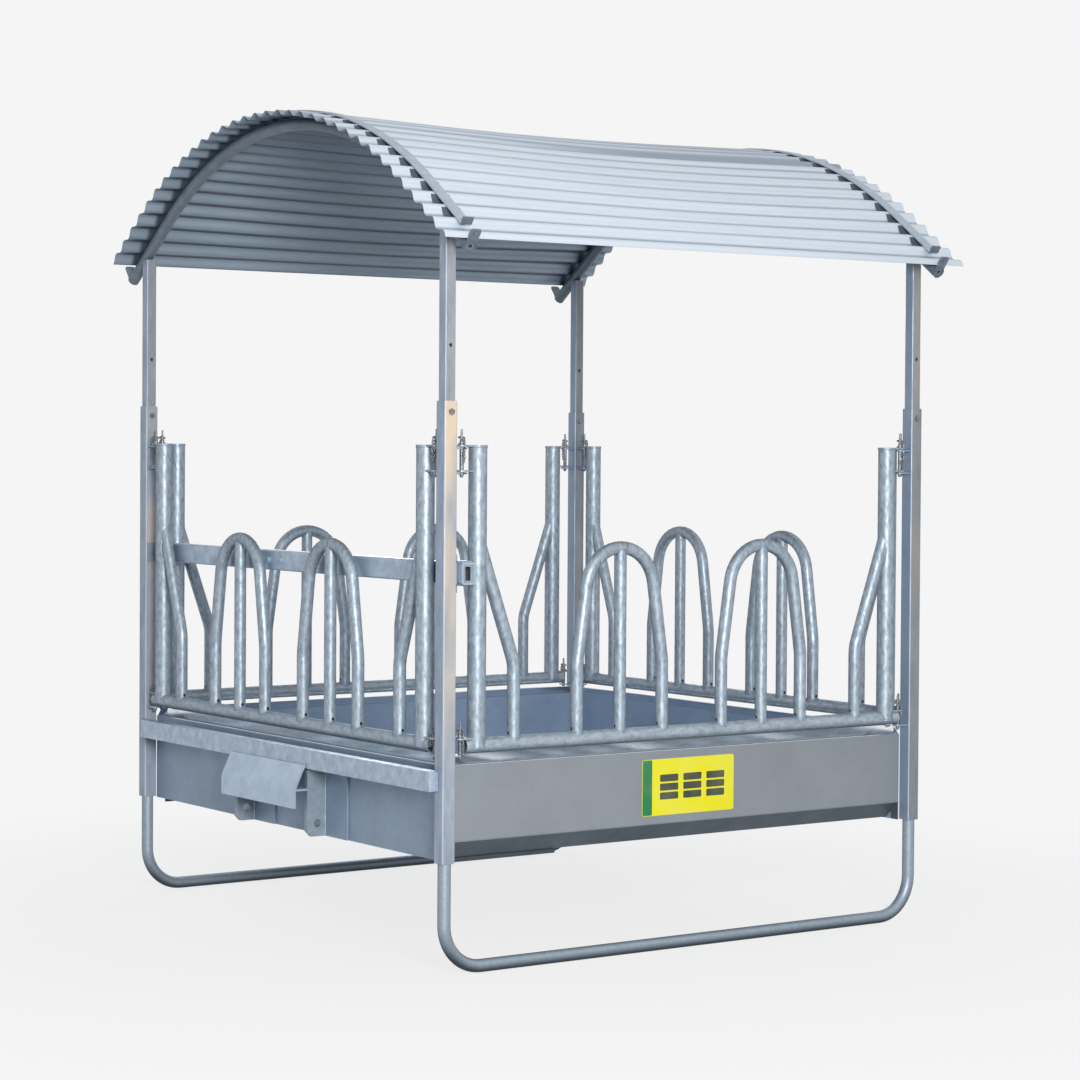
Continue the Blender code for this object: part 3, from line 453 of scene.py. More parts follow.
def hex_head(across, height, washer=0.0):
    """A hexagon bolt head standing on z = 0, with a washer of that radius under it."""
    radius = across / sqrt(3)
    bm = bmesh.new()
    bmesh.ops.create_cone(bm, cap_ends=True, segments=6, radius1=radius, radius2=radius,
                          depth=height, matrix=Matrix.Translation((0, 0, height / 2)))
    top = [edge for edge in bm.edges if min(v.co.z for v in edge.verts) > height * 0.9]
    rounded(bm, top, height * 0.16, 2)
    if washer:
        bm = gather(moved(bm, (0, 0, WASHER)), rod(washer, 0, WASHER, 16))
    return bm


def weld(leg, rail, bead=0.0032, slant=1.0):
    """A weld bead round a tube that stands on a round rail along X; z = 0 is the rail's axis.

    A rail of 0 leaves the bead flat. Slant pulls it out along the rail for a leaning tube.
    """
    sides = 28
    bm = ring(leg, bead, sides, 6)
    for vert in bm.verts:
        angle = atan2(vert.co.y, vert.co.x)
        core = Vector((leg * cos(angle), leg * sin(angle), 0))
        ripple = 1 + 0.16 * sin(angle * sides / 2) + 0.12 * noise.noise(core * 300)
        rise = sqrt(max(rail * rail - core.y * core.y, 0.0)) if rail else 0.0
        vert.co = Vector((core.x * slant, core.y, rise)) + (vert.co - core) * ripple
    return bm


def seam(start, end, bead):
    """A straight weld bead with ripples along it."""
    start, end = Vector(start), Vector(end)
    length = (end - start).length
    bm = tube([start, end], bead, sides=6)
    along = [edge for edge in bm.edges if abs(edge.calc_length() - length) < 1e-5]
    bmesh.ops.subdivide_edges(bm, edges=along, cuts=max(4, int(length / 0.004)) - 1,
                              use_grid_fill=True)
    run = (end - start).normalized()
    for vert in bm.verts:
        travel = (vert.co - start).dot(run)
        core = start + run * travel
        swell = 0.86 + 0.14 * sin(travel * 1600) + 0.2 * noise.noise(core * 220)
        vert.co = core + (vert.co - core) * swell
    return bm


# %% Finish and dust on faces
def ramp(value, low, high):
    """0 at low and 1 at high, straight in between; low may be the larger one."""
    return min(max((value - low) / (high - low), 0.0), 1.0)


def paint(bm, rule):
    """Give each face the number of its finish, from a function of the face."""
    bm.normal_update()
    for face in bm.faces:
        face.material_index = rule(face)
    return bm


def dusted_and_shaded(bm, amount):
    """Store at each corner of a face how much dirt and painted shade lies there, from a function of
    the point.
    """
    bm.normal_update()
    layer = bm.loops.layers.float.new("dust_and_shade")
    for face in bm.faces:
        for loop in face.loops:
            loop[layer] = amount(loop.vert)
    return bm


print("helpers ready")

# %% [markdown]
# ## Skids
# Each skid is one tube bent up at both ends. The bend is about 140 mm in radius, as a hydraulic
# bender gives on this tube. The legs go up inside the corner posts.

# %% Skids
GAP = 0.0003
POST = 1.0  # from the middle to a corner post's axis, along X and along Y
TUBE_R = 0.0212
TUBE_WALL = 0.0026
LEG_TOP = 0.51
SKID_LOW = TUBE_R + 0.00004


def mud_and_underside_shade(vert):
    """Mud on the low run, which is real dirt, and darkest underneath, which is painted shade."""
    return ramp(vert.co.z, 0.18, 0.06) * ramp(vert.normal.z, 0.45, -0.55)


for name, y in (("front", -POST), ("rear", POST)):
    route = [(-POST, y, LEG_TOP), (-POST, y, SKID_LOW), (POST, y, SKID_LOW), (POST, y, LEG_TOP)]
    skid = dusted_and_shaded(tube(route, TUBE_R, TUBE_WALL, 0.140, 32, 14), mud_and_underside_shade)
    show(skid, "skid_%s_tube" % name, SKID_ZINC, "base")
print("skid run:", 2 * POST, "m between posts")

# %% [markdown]
# ## Corner posts
# A corner post is a 50 mm square tube with rounded edges. Flat ears are welded to it, and the
# drop pins of two gates go down through them. An ear at a latch has an open slot, and an ear at a
# hinge has a round hole. The ears are plates with a rounded nose, cut by a Boolean while they
# are still single plates, which keeps the cut clean and quick.

# %% Corner posts with their ears
PIN_AT = 0.9425
EAR_RADIUS = 0.018
EAR_PLATE = 0.006
EAR_TOPS = (1.6785, 1.5985, 0.70235)
HOLE = 0.00775
POST_HALF = 0.025
POST_FOOT, POST_TOP = 0.36, 1.825
CORNERS = {"front_left": (-1, -1), "front_right": (1, -1), "rear_left": (-1, 1),
           "rear_right": (1, 1)}


def carve(bm, *tools):
    """Cut tools out of a closed mesh with exact Booleans and hand back the result."""
    pieces = []
    for source in (bm, *tools):
        mesh = bpy.data.meshes.new("carve")
        source.to_mesh(mesh)
        source.free()
        pieces.append(placed("carve", mesh))
    for tool in pieces[1:]:
        step = pieces[0].modifiers.new("cut", "BOOLEAN")
        step.operation = "DIFFERENCE"
        step.solver = "EXACT"
        step.object = tool
    bpy.context.view_layer.update()
    seen = pieces[0].evaluated_get(bpy.context.evaluated_depsgraph_get())
    whole = bmesh.new()
    whole.from_mesh(seen.to_mesh())
    seen.to_mesh_clear()
    # Removing a mesh removes the object that holds it too
    for piece in pieces:
        bpy.data.meshes.remove(piece.data)
    return whole


def ear(reach, slotted):
    """An ear along +X from its pin at the origin; its root is at x = reach."""
    outline = [(0, EAR_RADIUS)]
    for k in range(1, 12):
        angle = pi / 2 + pi * k / 12
        outline.append((EAR_RADIUS * cos(angle), EAR_RADIUS * sin(angle)))
    outline += [(0, -EAR_RADIUS), (reach, -EAR_RADIUS), (reach, EAR_RADIUS)]
    tools = [rod(HOLE, -0.02, 0.02, 16)]
    if slotted:
        tools.append(block((-HOLE, 0, -0.02), (HOLE, 0.04, 0.02)))
    return carve(plate(outline, EAR_PLATE), *tools)


def pins_of(sx, sy):
    """The two gate ends at a corner: where the pin is, the way to the post, and outwards."""
    # Front and rear gates hinge at +X, and left and right gates hinge at +Y
    return [{"at": Vector((sx * PIN_AT, sy * POST, 0)), "to": Vector((sx, 0, 0)),
             "out": Vector((0, sy, 0)), "hinge": sx > 0, "gate": "front" if sy < 0 else "rear"},
            {"at": Vector((sx * POST, sy * PIN_AT, 0)), "to": Vector((0, sy, 0)),
             "out": Vector((sx, 0, 0)), "hinge": sy > 0, "gate": "left" if sx < 0 else "right"}]


def ear_at(end, toward, reach, top, slotted):
    """An ear plate turned towards its root; its slot opens outwards."""
    made = ear(reach, slotted)
    if slotted and Vector((-toward.y, toward.x, 0)).dot(end["out"]) < 0:
        bmesh.ops.scale(made, vec=(1, -1, 1), verts=made.verts)
        bmesh.ops.reverse_faces(made, faces=made.faces)
    return moved(made, (end["at"].x, end["at"].y, top - EAR_PLATE / 2),
                 atan2(toward.y, toward.x))


def post_face_light_and_shade(face):
    """Finish 0 for X walls, 1 for Y walls and 2 for the rounded corners, lit and shaded copies of
    one zinc with painted light and shade.
    """
    return 0 if abs(face.normal.x) > 0.9 else 1 if abs(face.normal.y) > 0.9 else 2


POST_LIT_AND_SHADED_FINISHES = {-1: [COOL_SHADE_POST, WARM_LIGHT_AND_STAIN_POST, POST_EDGE_HIGHLIGHT], 1: [END_ZINC, PLAIN_POST, COOL_SHADE_POST]}
for name, (sx, sy) in CORNERS.items():
    x, y = sx * POST, sy * POST
    shell = box_tube((x - POST_HALF, y - POST_HALF, POST_FOOT),
                     (x + POST_HALF, y + POST_HALF, POST_TOP), 0.003, 0.0055)
    parts = [paint(shell, post_face_light_and_shade)]
    for end in pins_of(sx, sy):
        across = Vector((-end["to"].y, end["to"].x, 0)) * EAR_RADIUS
        root = end["at"] + end["to"] * (POST - PIN_AT - POST_HALF)
        for top in EAR_TOPS:
            parts.append(ear_at(end, end["to"], 0.0335, top, not end["hinge"]))
            for height in (top, top - EAR_PLATE):
                foot = root + Vector((0, 0, height))
                parts.append(seam(foot - across, foot + across, 0.0026))
    show(gather(*parts), "corner_post_%s_tube" % name, POST_LIT_AND_SHADED_FINISHES[sx], "base")
print("corner posts:", len(CORNERS))

# %% [markdown]
# ## Tub
# The tub is one long sheet folded into a trough: a rim leaning in, a wall, a slanting band and
# the floor. Two flat end sheets close it. Folding gives a small outside radius, which catches
# a line of light along each edge, so the folds are beveled before the sheet gets its thickness.

# %% Tub pan, end walls and sole plate
OUT = 0.9747  # half the tub's width outside
CLEAR = 0.9387  # the sheets of the ends stop here, beside the posts
SHEET = 0.003
RIM_Z, WALL_Z, FOLD_Z, FLOOR_Z = 0.695, 0.665, 0.420, 0.360
LEAN = 0.030  # how far the rim leans in
half = [(-OUT + LEAN, RIM_Z), (-OUT, WALL_Z), (-OUT, FOLD_Z), (-OUT + 0.060, FLOOR_Z)]
line = half + [(-across, height) for across, height in reversed(half)]


def tub_faces_light_and_shade(face):
    """Finish 0 for the outer walls, 1 for the rim, a painted highlight, 2 for the slanting foot and
    the inner faces at the tub's corners, painted shade, and 3 inside.
    """
    centre = face.calc_center_median()
    outwards = face.normal.dot(Vector((centre.x, centre.y, 0)))
    if centre.z > WALL_Z - 0.001:
        return 1
    if face.normal.z < -0.5 or outwards < 0 and min(abs(centre.x), abs(centre.y)) > 0.94:
        return 2
    return 3 if outwards < 0 or face.normal.z > 0.5 else 0


pan = folded(line, "X", -OUT + SHEET + GAP, OUT - SHEET - GAP, SHEET, 0.005)
show(paint(pan, tub_faces_light_and_shade), "tub_pan_sheet", [TUB_ZINC, RIM_HIGHLIGHT_ZINC, FOOT_SHADE_ZINC, INNER_ZINC], "base")
for name, side in (("left", -1), ("right", 1)):
    foot = FLOOR_Z - SHEET
    parts = [folded([(side * (OUT - LEAN), RIM_Z), (side * OUT, WALL_Z), (side * OUT, foot)], "Y",
                    -CLEAR, CLEAR, SHEET, 0.005, (side, 0, 0))]
    # Beside the posts the sheet stops under the rim, so each end of it is a strip of its own
    inner, outer = sorted((side * OUT, side * (OUT - SHEET)))
    for near, far in ((-OUT, -CLEAR), (CLEAR, OUT)):
        parts.append(block((inner, near, foot), (outer, far, WALL_Z - 0.0005)))
    show(paint(gather(*parts), tub_faces_light_and_shade), "tub_end_%s_sheet" % name,
         [END_ZINC, RIM_HIGHLIGHT_ZINC, FOOT_SHADE_ZINC, INNER_ZINC], "base")
low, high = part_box("floor_sole_plate")
sole = folded([(low.y, low.z), (low.y, high.z), (high.y, high.z), (high.y, low.z)], "X", low.x,
              high.x, SHEET, 0.003, (0, 0, 1))
show(sole, "sole_plate_sheet", SOLE_DIRT_AND_SHADE_ZINC, "base", "floor_sole_plate")
print("tub:", round(2 * OUT, 3), "m square")

# %% [markdown]
# ## Hitch side
# A channel beam runs along the left side under the gate, and a folded hood covers the place
# where the tractor's arms take hold. Two angle brackets with pin holes carry the load. The
# channel is drawn from its outline, and the hood is a folded sheet with a soft bend.

# %% Hitch beam, hood and lugs
BEAM_FACE = -1.0253
BEAM_BACK = BEAM_FACE - 0.035
BEAM_TOP, BEAM_FOOT = 0.655, 0.590
BEAM_WALL = 0.005
BEAM_FRONT, BEAM_REAR = -1.003, 0.990
LUG_ROOT, LUG_NOSE = -0.975, -1.0527
LUG_TOP, LUG_FOOT = 0.585, 0.357


def channel(outline, low, high):
    """A bar drawn along Y from its outline in X and Z."""
    return moved(plate(outline, high - low, 0.0012), (0, (low + high) / 2, 0), tip=pi / 2)


inner = BEAM_BACK + BEAM_WALL
beam = channel([(BEAM_FACE, BEAM_TOP), (BEAM_BACK, BEAM_TOP), (BEAM_BACK, BEAM_FOOT),
                (BEAM_FACE, BEAM_FOOT), (BEAM_FACE, BEAM_FOOT + BEAM_WALL),
                (inner, BEAM_FOOT + BEAM_WALL), (inner, BEAM_TOP - BEAM_WALL),
                (BEAM_FACE, BEAM_TOP - BEAM_WALL)], BEAM_FRONT, BEAM_REAR)
# The rear end is cut off at an angle towards its post, and a plate closes the front end
cut = bmesh.ops.bisect_plane(beam, geom=beam.verts[:] + beam.edges[:] + beam.faces[:],
                             plane_co=(BEAM_BACK, 0.945, 0), plane_no=(-0.045, 0.035, 0),
                             clear_outer=True)
bmesh.ops.edgeloop_fill(beam, edges=only(cut["geom_cut"], bmesh.types.BMEdge))
bmesh.ops.recalc_face_normals(beam, faces=beam.faces)
lid = block((BEAM_BACK + 0.001, BEAM_FRONT + 0.0005, BEAM_FOOT + 0.001),
            (BEAM_FACE - 0.001, BEAM_FRONT + 0.005, BEAM_TOP - 0.001))
# Faces that look up take the darker top finish, which is painted shade
beam = paint(gather(beam, lid), lambda face: 1 if face.normal.z > 0.5 else 0)
show(beam, "hitch_beam_channel", [PLATE_ZINC, BEAM_TOP_SHADE_ZINC], "base")
hood = folded([(-1.0666, 0.602), (-1.105, 0.522), (-1.105, 0.456)], "Y", -0.25, 0.25, 0.006, 0.012,
              (-1, 0, 0.2))
shelf = block((-1.102, -0.249, 0.514), (-1.0530, 0.249, 0.522), 0.001)
show(gather(hood, shelf), "hitch_hood_sheet", HOOD_ZINC, "base")
for name, y in (("front", -0.24), ("rear", 0.24)):
    web = carve(channel([(LUG_ROOT, LUG_TOP), (LUG_NOSE, LUG_TOP), (LUG_NOSE, LUG_FOOT + 0.018),
                         (LUG_NOSE + 0.018, LUG_FOOT), (LUG_ROOT, LUG_FOOT)], y - 0.010, y + 0.010),
                moved(rod(0.014, -0.03, 0.03, 28), (-1.01385, y, 0.402), tip=pi / 2))
    back = LUG_ROOT - 0.008
    flange = block((back, y - 0.15, LUG_FOOT), (LUG_ROOT, y - 0.0095, LUG_TOP), 0.0012)
    bead = seam((back, y - 0.011, LUG_FOOT + 0.003), (back, y - 0.011, LUG_TOP - 0.005), 0.0035)
    show(gather(web, paint(flange, lambda face: 1), bead), "hitch_lug_%s_bracket" % name,
         [LUG_ZINC, END_ZINC], "base")
print("hitch beam:", BEAM_REAR - BEAM_FRONT, "m")

# %% [markdown]
# ## Breast rail
# A 50 x 70 mm rail crosses the left side inside the posts. Two bent clamps hold it, each with
# ears that lie on the post. A lid with a slot is welded in each end, so only a dark slit shows.

# %% Breast rail and clamps
low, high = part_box("top_rail")
rail = [box_tube(low, high, 0.005, 0.007, 1)]
middle_x, middle_z = (low.x + high.x) / 2 - 0.003, (low.z + high.z) / 2
for end_y, inward in ((low.y, 1), (high.y, -1)):
    near, far = sorted((end_y + inward * 0.0002, end_y + inward * 0.0032))
    lid = block((low.x + 0.002, near, low.z + 0.002), (high.x - 0.002, far, high.z - 0.002))
    slot = block((middle_x - 0.010, near - 0.01, middle_z - 0.022),
                 (middle_x + 0.010, far + 0.01, middle_z + 0.022))
    rail.append(paint(carve(lid, slot), lambda face: 1))
for y in (0.073, 0.16):
    rail.append(moved(hex_head(0.019, 0.008, 0.012), (low.x, y, middle_z), -pi / 2, "Y"))
show(gather(*rail), "top_rail_tube", [PLATE_ZINC, LUG_ZINC], "base")
print("breast rail top:", round(high.z, 3))
CLAMP_LOW, CLAMP_HIGH = 1.239, 1.319
inner = GAP - POST + POST_HALF
for name, side in (("front", -1), ("rear", 1)):
    low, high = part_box("rail_clamp_" + name)
    near, far = side * POST - 0.02, side * POST + 0.02
    band = folded([(inner, CLAMP_LOW), (high.x, CLAMP_LOW), (high.x, CLAMP_HIGH),
                   (inner, CLAMP_HIGH)], "Y", near, far, 0.005, 0.006, (1, 0, 0))
    back = block((inner, near, low.z), (inner + 0.005, far, high.z), 0.001)
    lap = sorted((side * -inner, side * (-inner - 0.005)))
    wrap = block((-1.020, lap[0], CLAMP_LOW + 0.005), (inner + 0.005, lap[1], CLAMP_HIGH - 0.005),
                 0.001)
    bolts = [moved(hex_head(0.013, 0.006), (inner + 0.005, side * POST, height), pi / 2, "Y")
             for height in (1.228, 1.330)]
    show(gather(band, back, wrap, *bolts), "rail_clamp_%s_band" % name, LUG_ZINC, "base")

# %% [markdown]
# ## Feed gates
# A gate is a weldment: a bottom rail, two stout uprights, two leaning side tubes and, bolted in
# by their welds, two tombstone arches with a centre bar. All four gates are alike, so each is
# built once along +X from its hinge and then carried to its side. Weld beads follow the saddle
# where a tube stands on the round rail, which makes the joints look made and not merged.

# %% Gate frame and arch
SPAN = 2 * PIN_AT
RAIL_Z = 0.728
RAIL_R = 0.02415
UPRIGHT_R = 0.03015
UPRIGHT_FOOT, UPRIGHT_TOP = 0.722, 1.681
STOUT_WALL = 0.0029
LEG_Z = 0.740  # where side tubes and arches end, inside the rail
# The side tube leaves its upright at this height and is bent straight at the next
LEAN_TOP, LEAN_FOOT = 1.395, 0.985
CROWN_Z, CROWN_R = 1.2103, 0.1405
GATES = {"front": ((PIN_AT, -POST), pi), "rear": ((PIN_AT, POST), pi),
         "left": ((-POST, PIN_AT), -pi / 2), "right": ((POST, PIN_AT), -pi / 2)}


def rail_underside_shade(vert):
    """Painted shade under the rail."""
    return min(max(-1.1 * vert.normal.z - 0.05, 0.0), 0.9)


def foot_hole(x):
    """A cutter for the vent hole at the foot of an upright tube, on its +X side."""
    return moved(rod(0.0058, 0, 0.03, 12), (x, 0, RAIL_Z + RAIL_R + 0.0085), pi / 2, "Y")


def gate_frame():
    """The gate's frame from its hinge pin along +X."""
    rail = tube([(0.0125, 0, RAIL_Z), (SPAN - 0.0125, 0, RAIL_Z)], RAIL_R, STOUT_WALL, sides=32)
    parts = [paint(dusted_and_shaded(rail, rail_underside_shade), lambda face: 1)]
    cap = [(0, 0), (0.0308, 0), (0.0316, 0.001), (0.0316, 0.005), (0.0308, 0.006), (0, 0.006)]
    for side in (-1, 1):
        post_x, foot_x, pin_x = (SPAN / 2 + side * far for far in (0.880, 0.735, SPAN / 2))
        lean = atan2(abs(post_x - foot_x), LEAN_TOP - LEAN_FOOT)
        parts.append(tube([(post_x, 0, UPRIGHT_FOOT), (post_x, 0, UPRIGHT_TOP)], UPRIGHT_R,
                          STOUT_WALL, sides=36))
        parts.append(moved(turned(cap, 36), (post_x, 0, UPRIGHT_TOP - 0.001)))
        parts.append(moved(weld(UPRIGHT_R, 0, 0.0026), (post_x, 0, UPRIGHT_TOP - 0.0015)))
        parts.append(moved(weld(UPRIGHT_R, 0, 0.003), (post_x, 0, UPRIGHT_FOOT + 0.0005)))
        leaning = tube([(post_x, 0, LEAN_TOP), (foot_x, 0, LEAN_FOOT), (foot_x, 0, LEG_Z)], TUBE_R,
                       TUBE_WALL, 0.14, 28, 6)
        parts.append(carve(leaning, foot_hole(foot_x)))
        parts.append(moved(weld(TUBE_R, RAIL_R), (foot_x, 0, RAIL_Z)))
        parts.append(moved(weld(TUBE_R, UPRIGHT_R * 0.98, 0.003, 1 / sin(lean)),
                           (post_x, 0, LEAN_TOP - UPRIGHT_R / tan(lean)),
                           -side * pi / 2, "Y"))
        pin = {"at": Vector((pin_x, 0, 0)), "out": Vector((0, 1, 0))}
        reach = abs(pin_x - post_x) - 0.020
        for top in (1.686, 1.606, 0.755):
            parts.append(ear_at(pin, Vector((-side, 0, 0)), reach, top, False))
    return gather(*parts)


def gate_arch():
    """One arch about x = 0 with its centre bar."""
    foot, bend_z = 0.177, 0.972
    drop = CROWN_Z - bend_z
    lean = atan2(foot, drop) - asin(CROWN_R / hypot(foot, drop))
    apex = (0, 0, bend_z + foot / tan(lean))
    hoop = tube([(-foot, 0, LEG_Z), (-foot, 0, bend_z), apex, (foot, 0, bend_z), (foot, 0, LEG_Z)],
                TUBE_R, TUBE_WALL, [0.25, CROWN_R, 0.25], 28, 20)
    top = CROWN_Z + CROWN_R
    bar = tube([(0, 0, LEG_Z), (0, 0, top - 0.004)], TUBE_R - 0.0004, TUBE_WALL, sides=28)
    parts = [carve(hoop, foot_hole(-foot), foot_hole(foot)), carve(bar, foot_hole(0))]
    parts += [moved(weld(TUBE_R, RAIL_R), (x, 0, RAIL_Z)) for x in (-foot, 0, foot)]
    parts.append(moved(weld(TUBE_R - 0.0012, TUBE_R * 0.98, 0.0028), (0, 0, top), tip=pi))
    return gather(*parts)


FRAME = gate_frame()
ARCH = gate_arch()
for name, (hinge, turn) in GATES.items():
    show(moved(FRAME.copy(), (*hinge, 0), turn), "gate_%s_weldment" % name, [TUBE_ZINC, RAIL_ZINC],
         "gate_" + name, "gate_%s_frame" % name)
    for letter, offset in (("a", -0.305), ("b", 0.305)):
        arch = moved(moved(ARCH.copy(), (SPAN / 2 + offset, 0, 0)), (*hinge, 0), turn)
        show(arch, "gate_%s_arch_%s_hoop" % (name, letter), TUBE_ZINC, "gate_" + name)
print("gates:", len(GATES), "arch top:", round(CROWN_Z + CROWN_R + TUBE_R, 3))

# %% [markdown]
# ## Drop pins and chains
# A pin drops through the ears of gate and post at each corner, twice over. It has a collar to
# stop it, a thin stem to pull it by, and a few links of chain, so that it isn't lost in the
# straw. The pin is turned from a profile, and the links are rings pulled long.

# %% Drop pins
STOREYS = {"upper": (1.582, 1.6863, 7), "lower": (0.6819, 0.7553, 4)}  # tip, shoulder and links


def drop_pin(tip, shoulder, top):
    """A drop pin on the Z axis, and the eye that its chain hangs from."""
    profile = [(0, tip), (0.0035, tip), (0.007, tip + 0.006), (0.007, shoulder), (0.012, shoulder),
               (0.012, shoulder + 0.005), (0.0075, shoulder + 0.005), (0.0065, shoulder + 0.014),
               (0.004, shoulder + 0.018), (0.0035, top - 0.002), (0.0025, top), (0, top)]
    return [turned(profile, 18), moved(ring(0.0105, 0.0022), (0, 0, shoulder + 0.022), tip=0.35)]


def chain(start, count):
    """A short hanging chain of links, each turned a quarter against the last."""
    links = []
    for k in range(count):
        link = moved(ring(0.0050, 0.0017, 14, 6, 0.0035), tip=pi / 2)
        links.append(moved(link, start - Vector((0, 0, 0.0108 * k)), k * pi / 2 + 0.4))
    return links


for sx, sy in CORNERS.values():
    for end in pins_of(sx, sy):
        role = "hinge" if end["hinge"] else "latch"
        for storey, (tip, shoulder, links) in STOREYS.items():
            node = "%s_pin_%s_%s" % (role, end["gate"], storey)
            body = "base" if end["hinge"] else "latch_%s_%s" % (end["gate"], storey)
            parts = drop_pin(tip, shoulder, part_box(node)[1].z)
            parts += chain(end["out"] * 0.0125 + Vector((0, 0, shoulder + 0.016)), links)
            show(moved(gather(*parts), end["at"]), node + "_turned", PIN_ZINC, body)
print("drop pins:", 2 * len(STOREYS) * len(CORNERS))

# %% [markdown]
# ## Roof posts and clamp bolts
# A 40 mm square tube slides in each corner post and carries the roof. It has a row of holes for
# the height, and one bolt through the corner post holds it. The holes are real Boolean cuts.

# %% Roof posts and bolts
ROOF_POST_HALF = 0.02
ROOF_POST_TOP = 2.374
BOLT_Z = 1.79
for name, (sx, sy) in CORNERS.items():
    x, y = sx * POST, sy * POST
    shell = box_tube((x - ROOF_POST_HALF, y - ROOF_POST_HALF, 1.42),
                     (x + ROOF_POST_HALF, y + ROOF_POST_HALF, ROOF_POST_TOP), 0.003, 0.0045)
    holes = [moved(rod(0.0063, -0.05, 0.05, 16), (x, y, height), tip=pi / 2)
             for height in (1.58, 2.0)]
    cool, warm, corner = POST_LIT_AND_SHADED_FINISHES[sx]
    show(paint(carve(shell, *holes), post_face_light_and_shade), "roof_post_%s_tube" % name,
         [cool, UPPER_POST if sx < 0 else warm, corner], "roof")
    face_y = y - POST_HALF - GAP
    bolt = moved(hex_head(0.0182, 0.007), (x, face_y, BOLT_Z), tip=pi / 2)
    shank = moved(rod(0.006, 0, 0.005, 12), (x, face_y + 0.005, BOLT_Z), tip=pi / 2)
    show(gather(bolt, shank), "height_bolt_%s_head" % name, PIN_ZINC, "base")
print("roof posts top:", ROOF_POST_TOP)

# %% [markdown]
# ## Corrugated roof
# The roof is three sheets rolled to an arc and lapped over each other, with waves 76 mm apart and
# 18 mm deep. A flat grid is the start. Each row of it is moved onto the arc and up and down with a
# cosine, which is how a rolling mill shapes the real sheet, and the sheet then gets its thickness.
# The inner faces take a darker copy of the finish, which is painted shade.

# %% Roof sheets
CREST_R = 1.490
CREST_Z = 1.333
ARC_HALF = radians(36.5)
PITCH = 0.076
WAVE = 0.018
FRONT_EAVE = -17 * PITCH
STEPS = 18
FRONT_TRIM = 4
SHEET_WALL = 0.0008
LAP = 0.0016  # how far the top sheet lies above the two others
CLOSE = 0.0004  # the sheets' own distance under the crest line
# The sheets are held at the ribs, one metre from the middle, and sag a little between them
SAG = 0.018
SAG_END = 15.6  # in waves from the ridge
STRAP_HALF = 0.036  # half the width that a strap and its painted shadow take up
COLUMNS = (-1.105, -1.070, -1.036, -1.021, -0.979, -0.964, -0.93, -0.8, -0.6, -0.4, -0.2, 0.0,
           0.2, 0.4, 0.6, 0.8, 0.93, 0.964, 0.979, 1.021, 1.036, 1.070, 1.105)


def on_roof(travel, offset):
    """A place across the roof: travel along the crest line from the ridge, offset inwards."""
    side = 1 if travel >= 0 else -1
    along = min(abs(travel), CREST_R * ARC_HALF)
    angle = along / CREST_R
    run = abs(travel) - along
    radius = CREST_R - offset
    return Vector((0, side * (radius * sin(angle) + run * cos(angle)),
                   CREST_Z + radius * cos(angle) - run * sin(angle)))


def travel_at(place):
    """The travel of a place on the roof, the other way round."""
    angle = atan2(abs(place.y), place.z - CREST_Z)
    if angle <= ARC_HALF:
        along = CREST_R * angle
    else:
        bend = on_roof(CREST_R * ARC_HALF, 0)
        along = CREST_R * ARC_HALF + ((abs(place.y) - bend.y) * cos(ARC_HALF)
                                      - (place.z - bend.z) * sin(ARC_HALF))
    return copysign(along, place.y)


def painted_shade_above(travel, x, top):
    """On the upper side: painted shade in each trough, a thin line down the flank, more at the lap;
    the top sheet is also darker towards +X.
    """
    waves = abs(travel) / PITCH
    share = waves % 1
    # Near the ridge the line lies high on the flank, and far down the slope it lies low
    slope = degrees(min(abs(travel) / CREST_R, ARC_HALF))
    level = min(max((33.6 - slope) / 73, 0.0), 0.45)
    if share >= 0.5:
        flank = 1 - share
        dust_and_shade = max(ramp(flank, level + 0.13, level + 0.02), 0.22 - 4 * abs(flank - level - 0.25))
    else:
        dust_and_shade = ramp(share, 0.40, 0.25)
    if 6.45 < waves < 7.05 and not top:
        dust_and_shade = max(dust_and_shade, ramp(x, -0.6, 0.1))
    return max(dust_and_shade, 0.45 * ramp(x, -0.5, 0.9)) if top else dust_and_shade


def painted_shade_below(normal, x, share):
    """Painted shade on the underside: dark where the sheet lies level, a faint line in each wave,
    darker towards -X, and darkest at the ribs.
    """
    return max(ramp(-normal.z, 0.72, 0.95), 0.3 - 4 * abs(share - 0.75), 0.3 * ramp(x, 0.3, -0.8),
               0.95 * ramp(abs(abs(x) - POST), STRAP_HALF, 0.022))


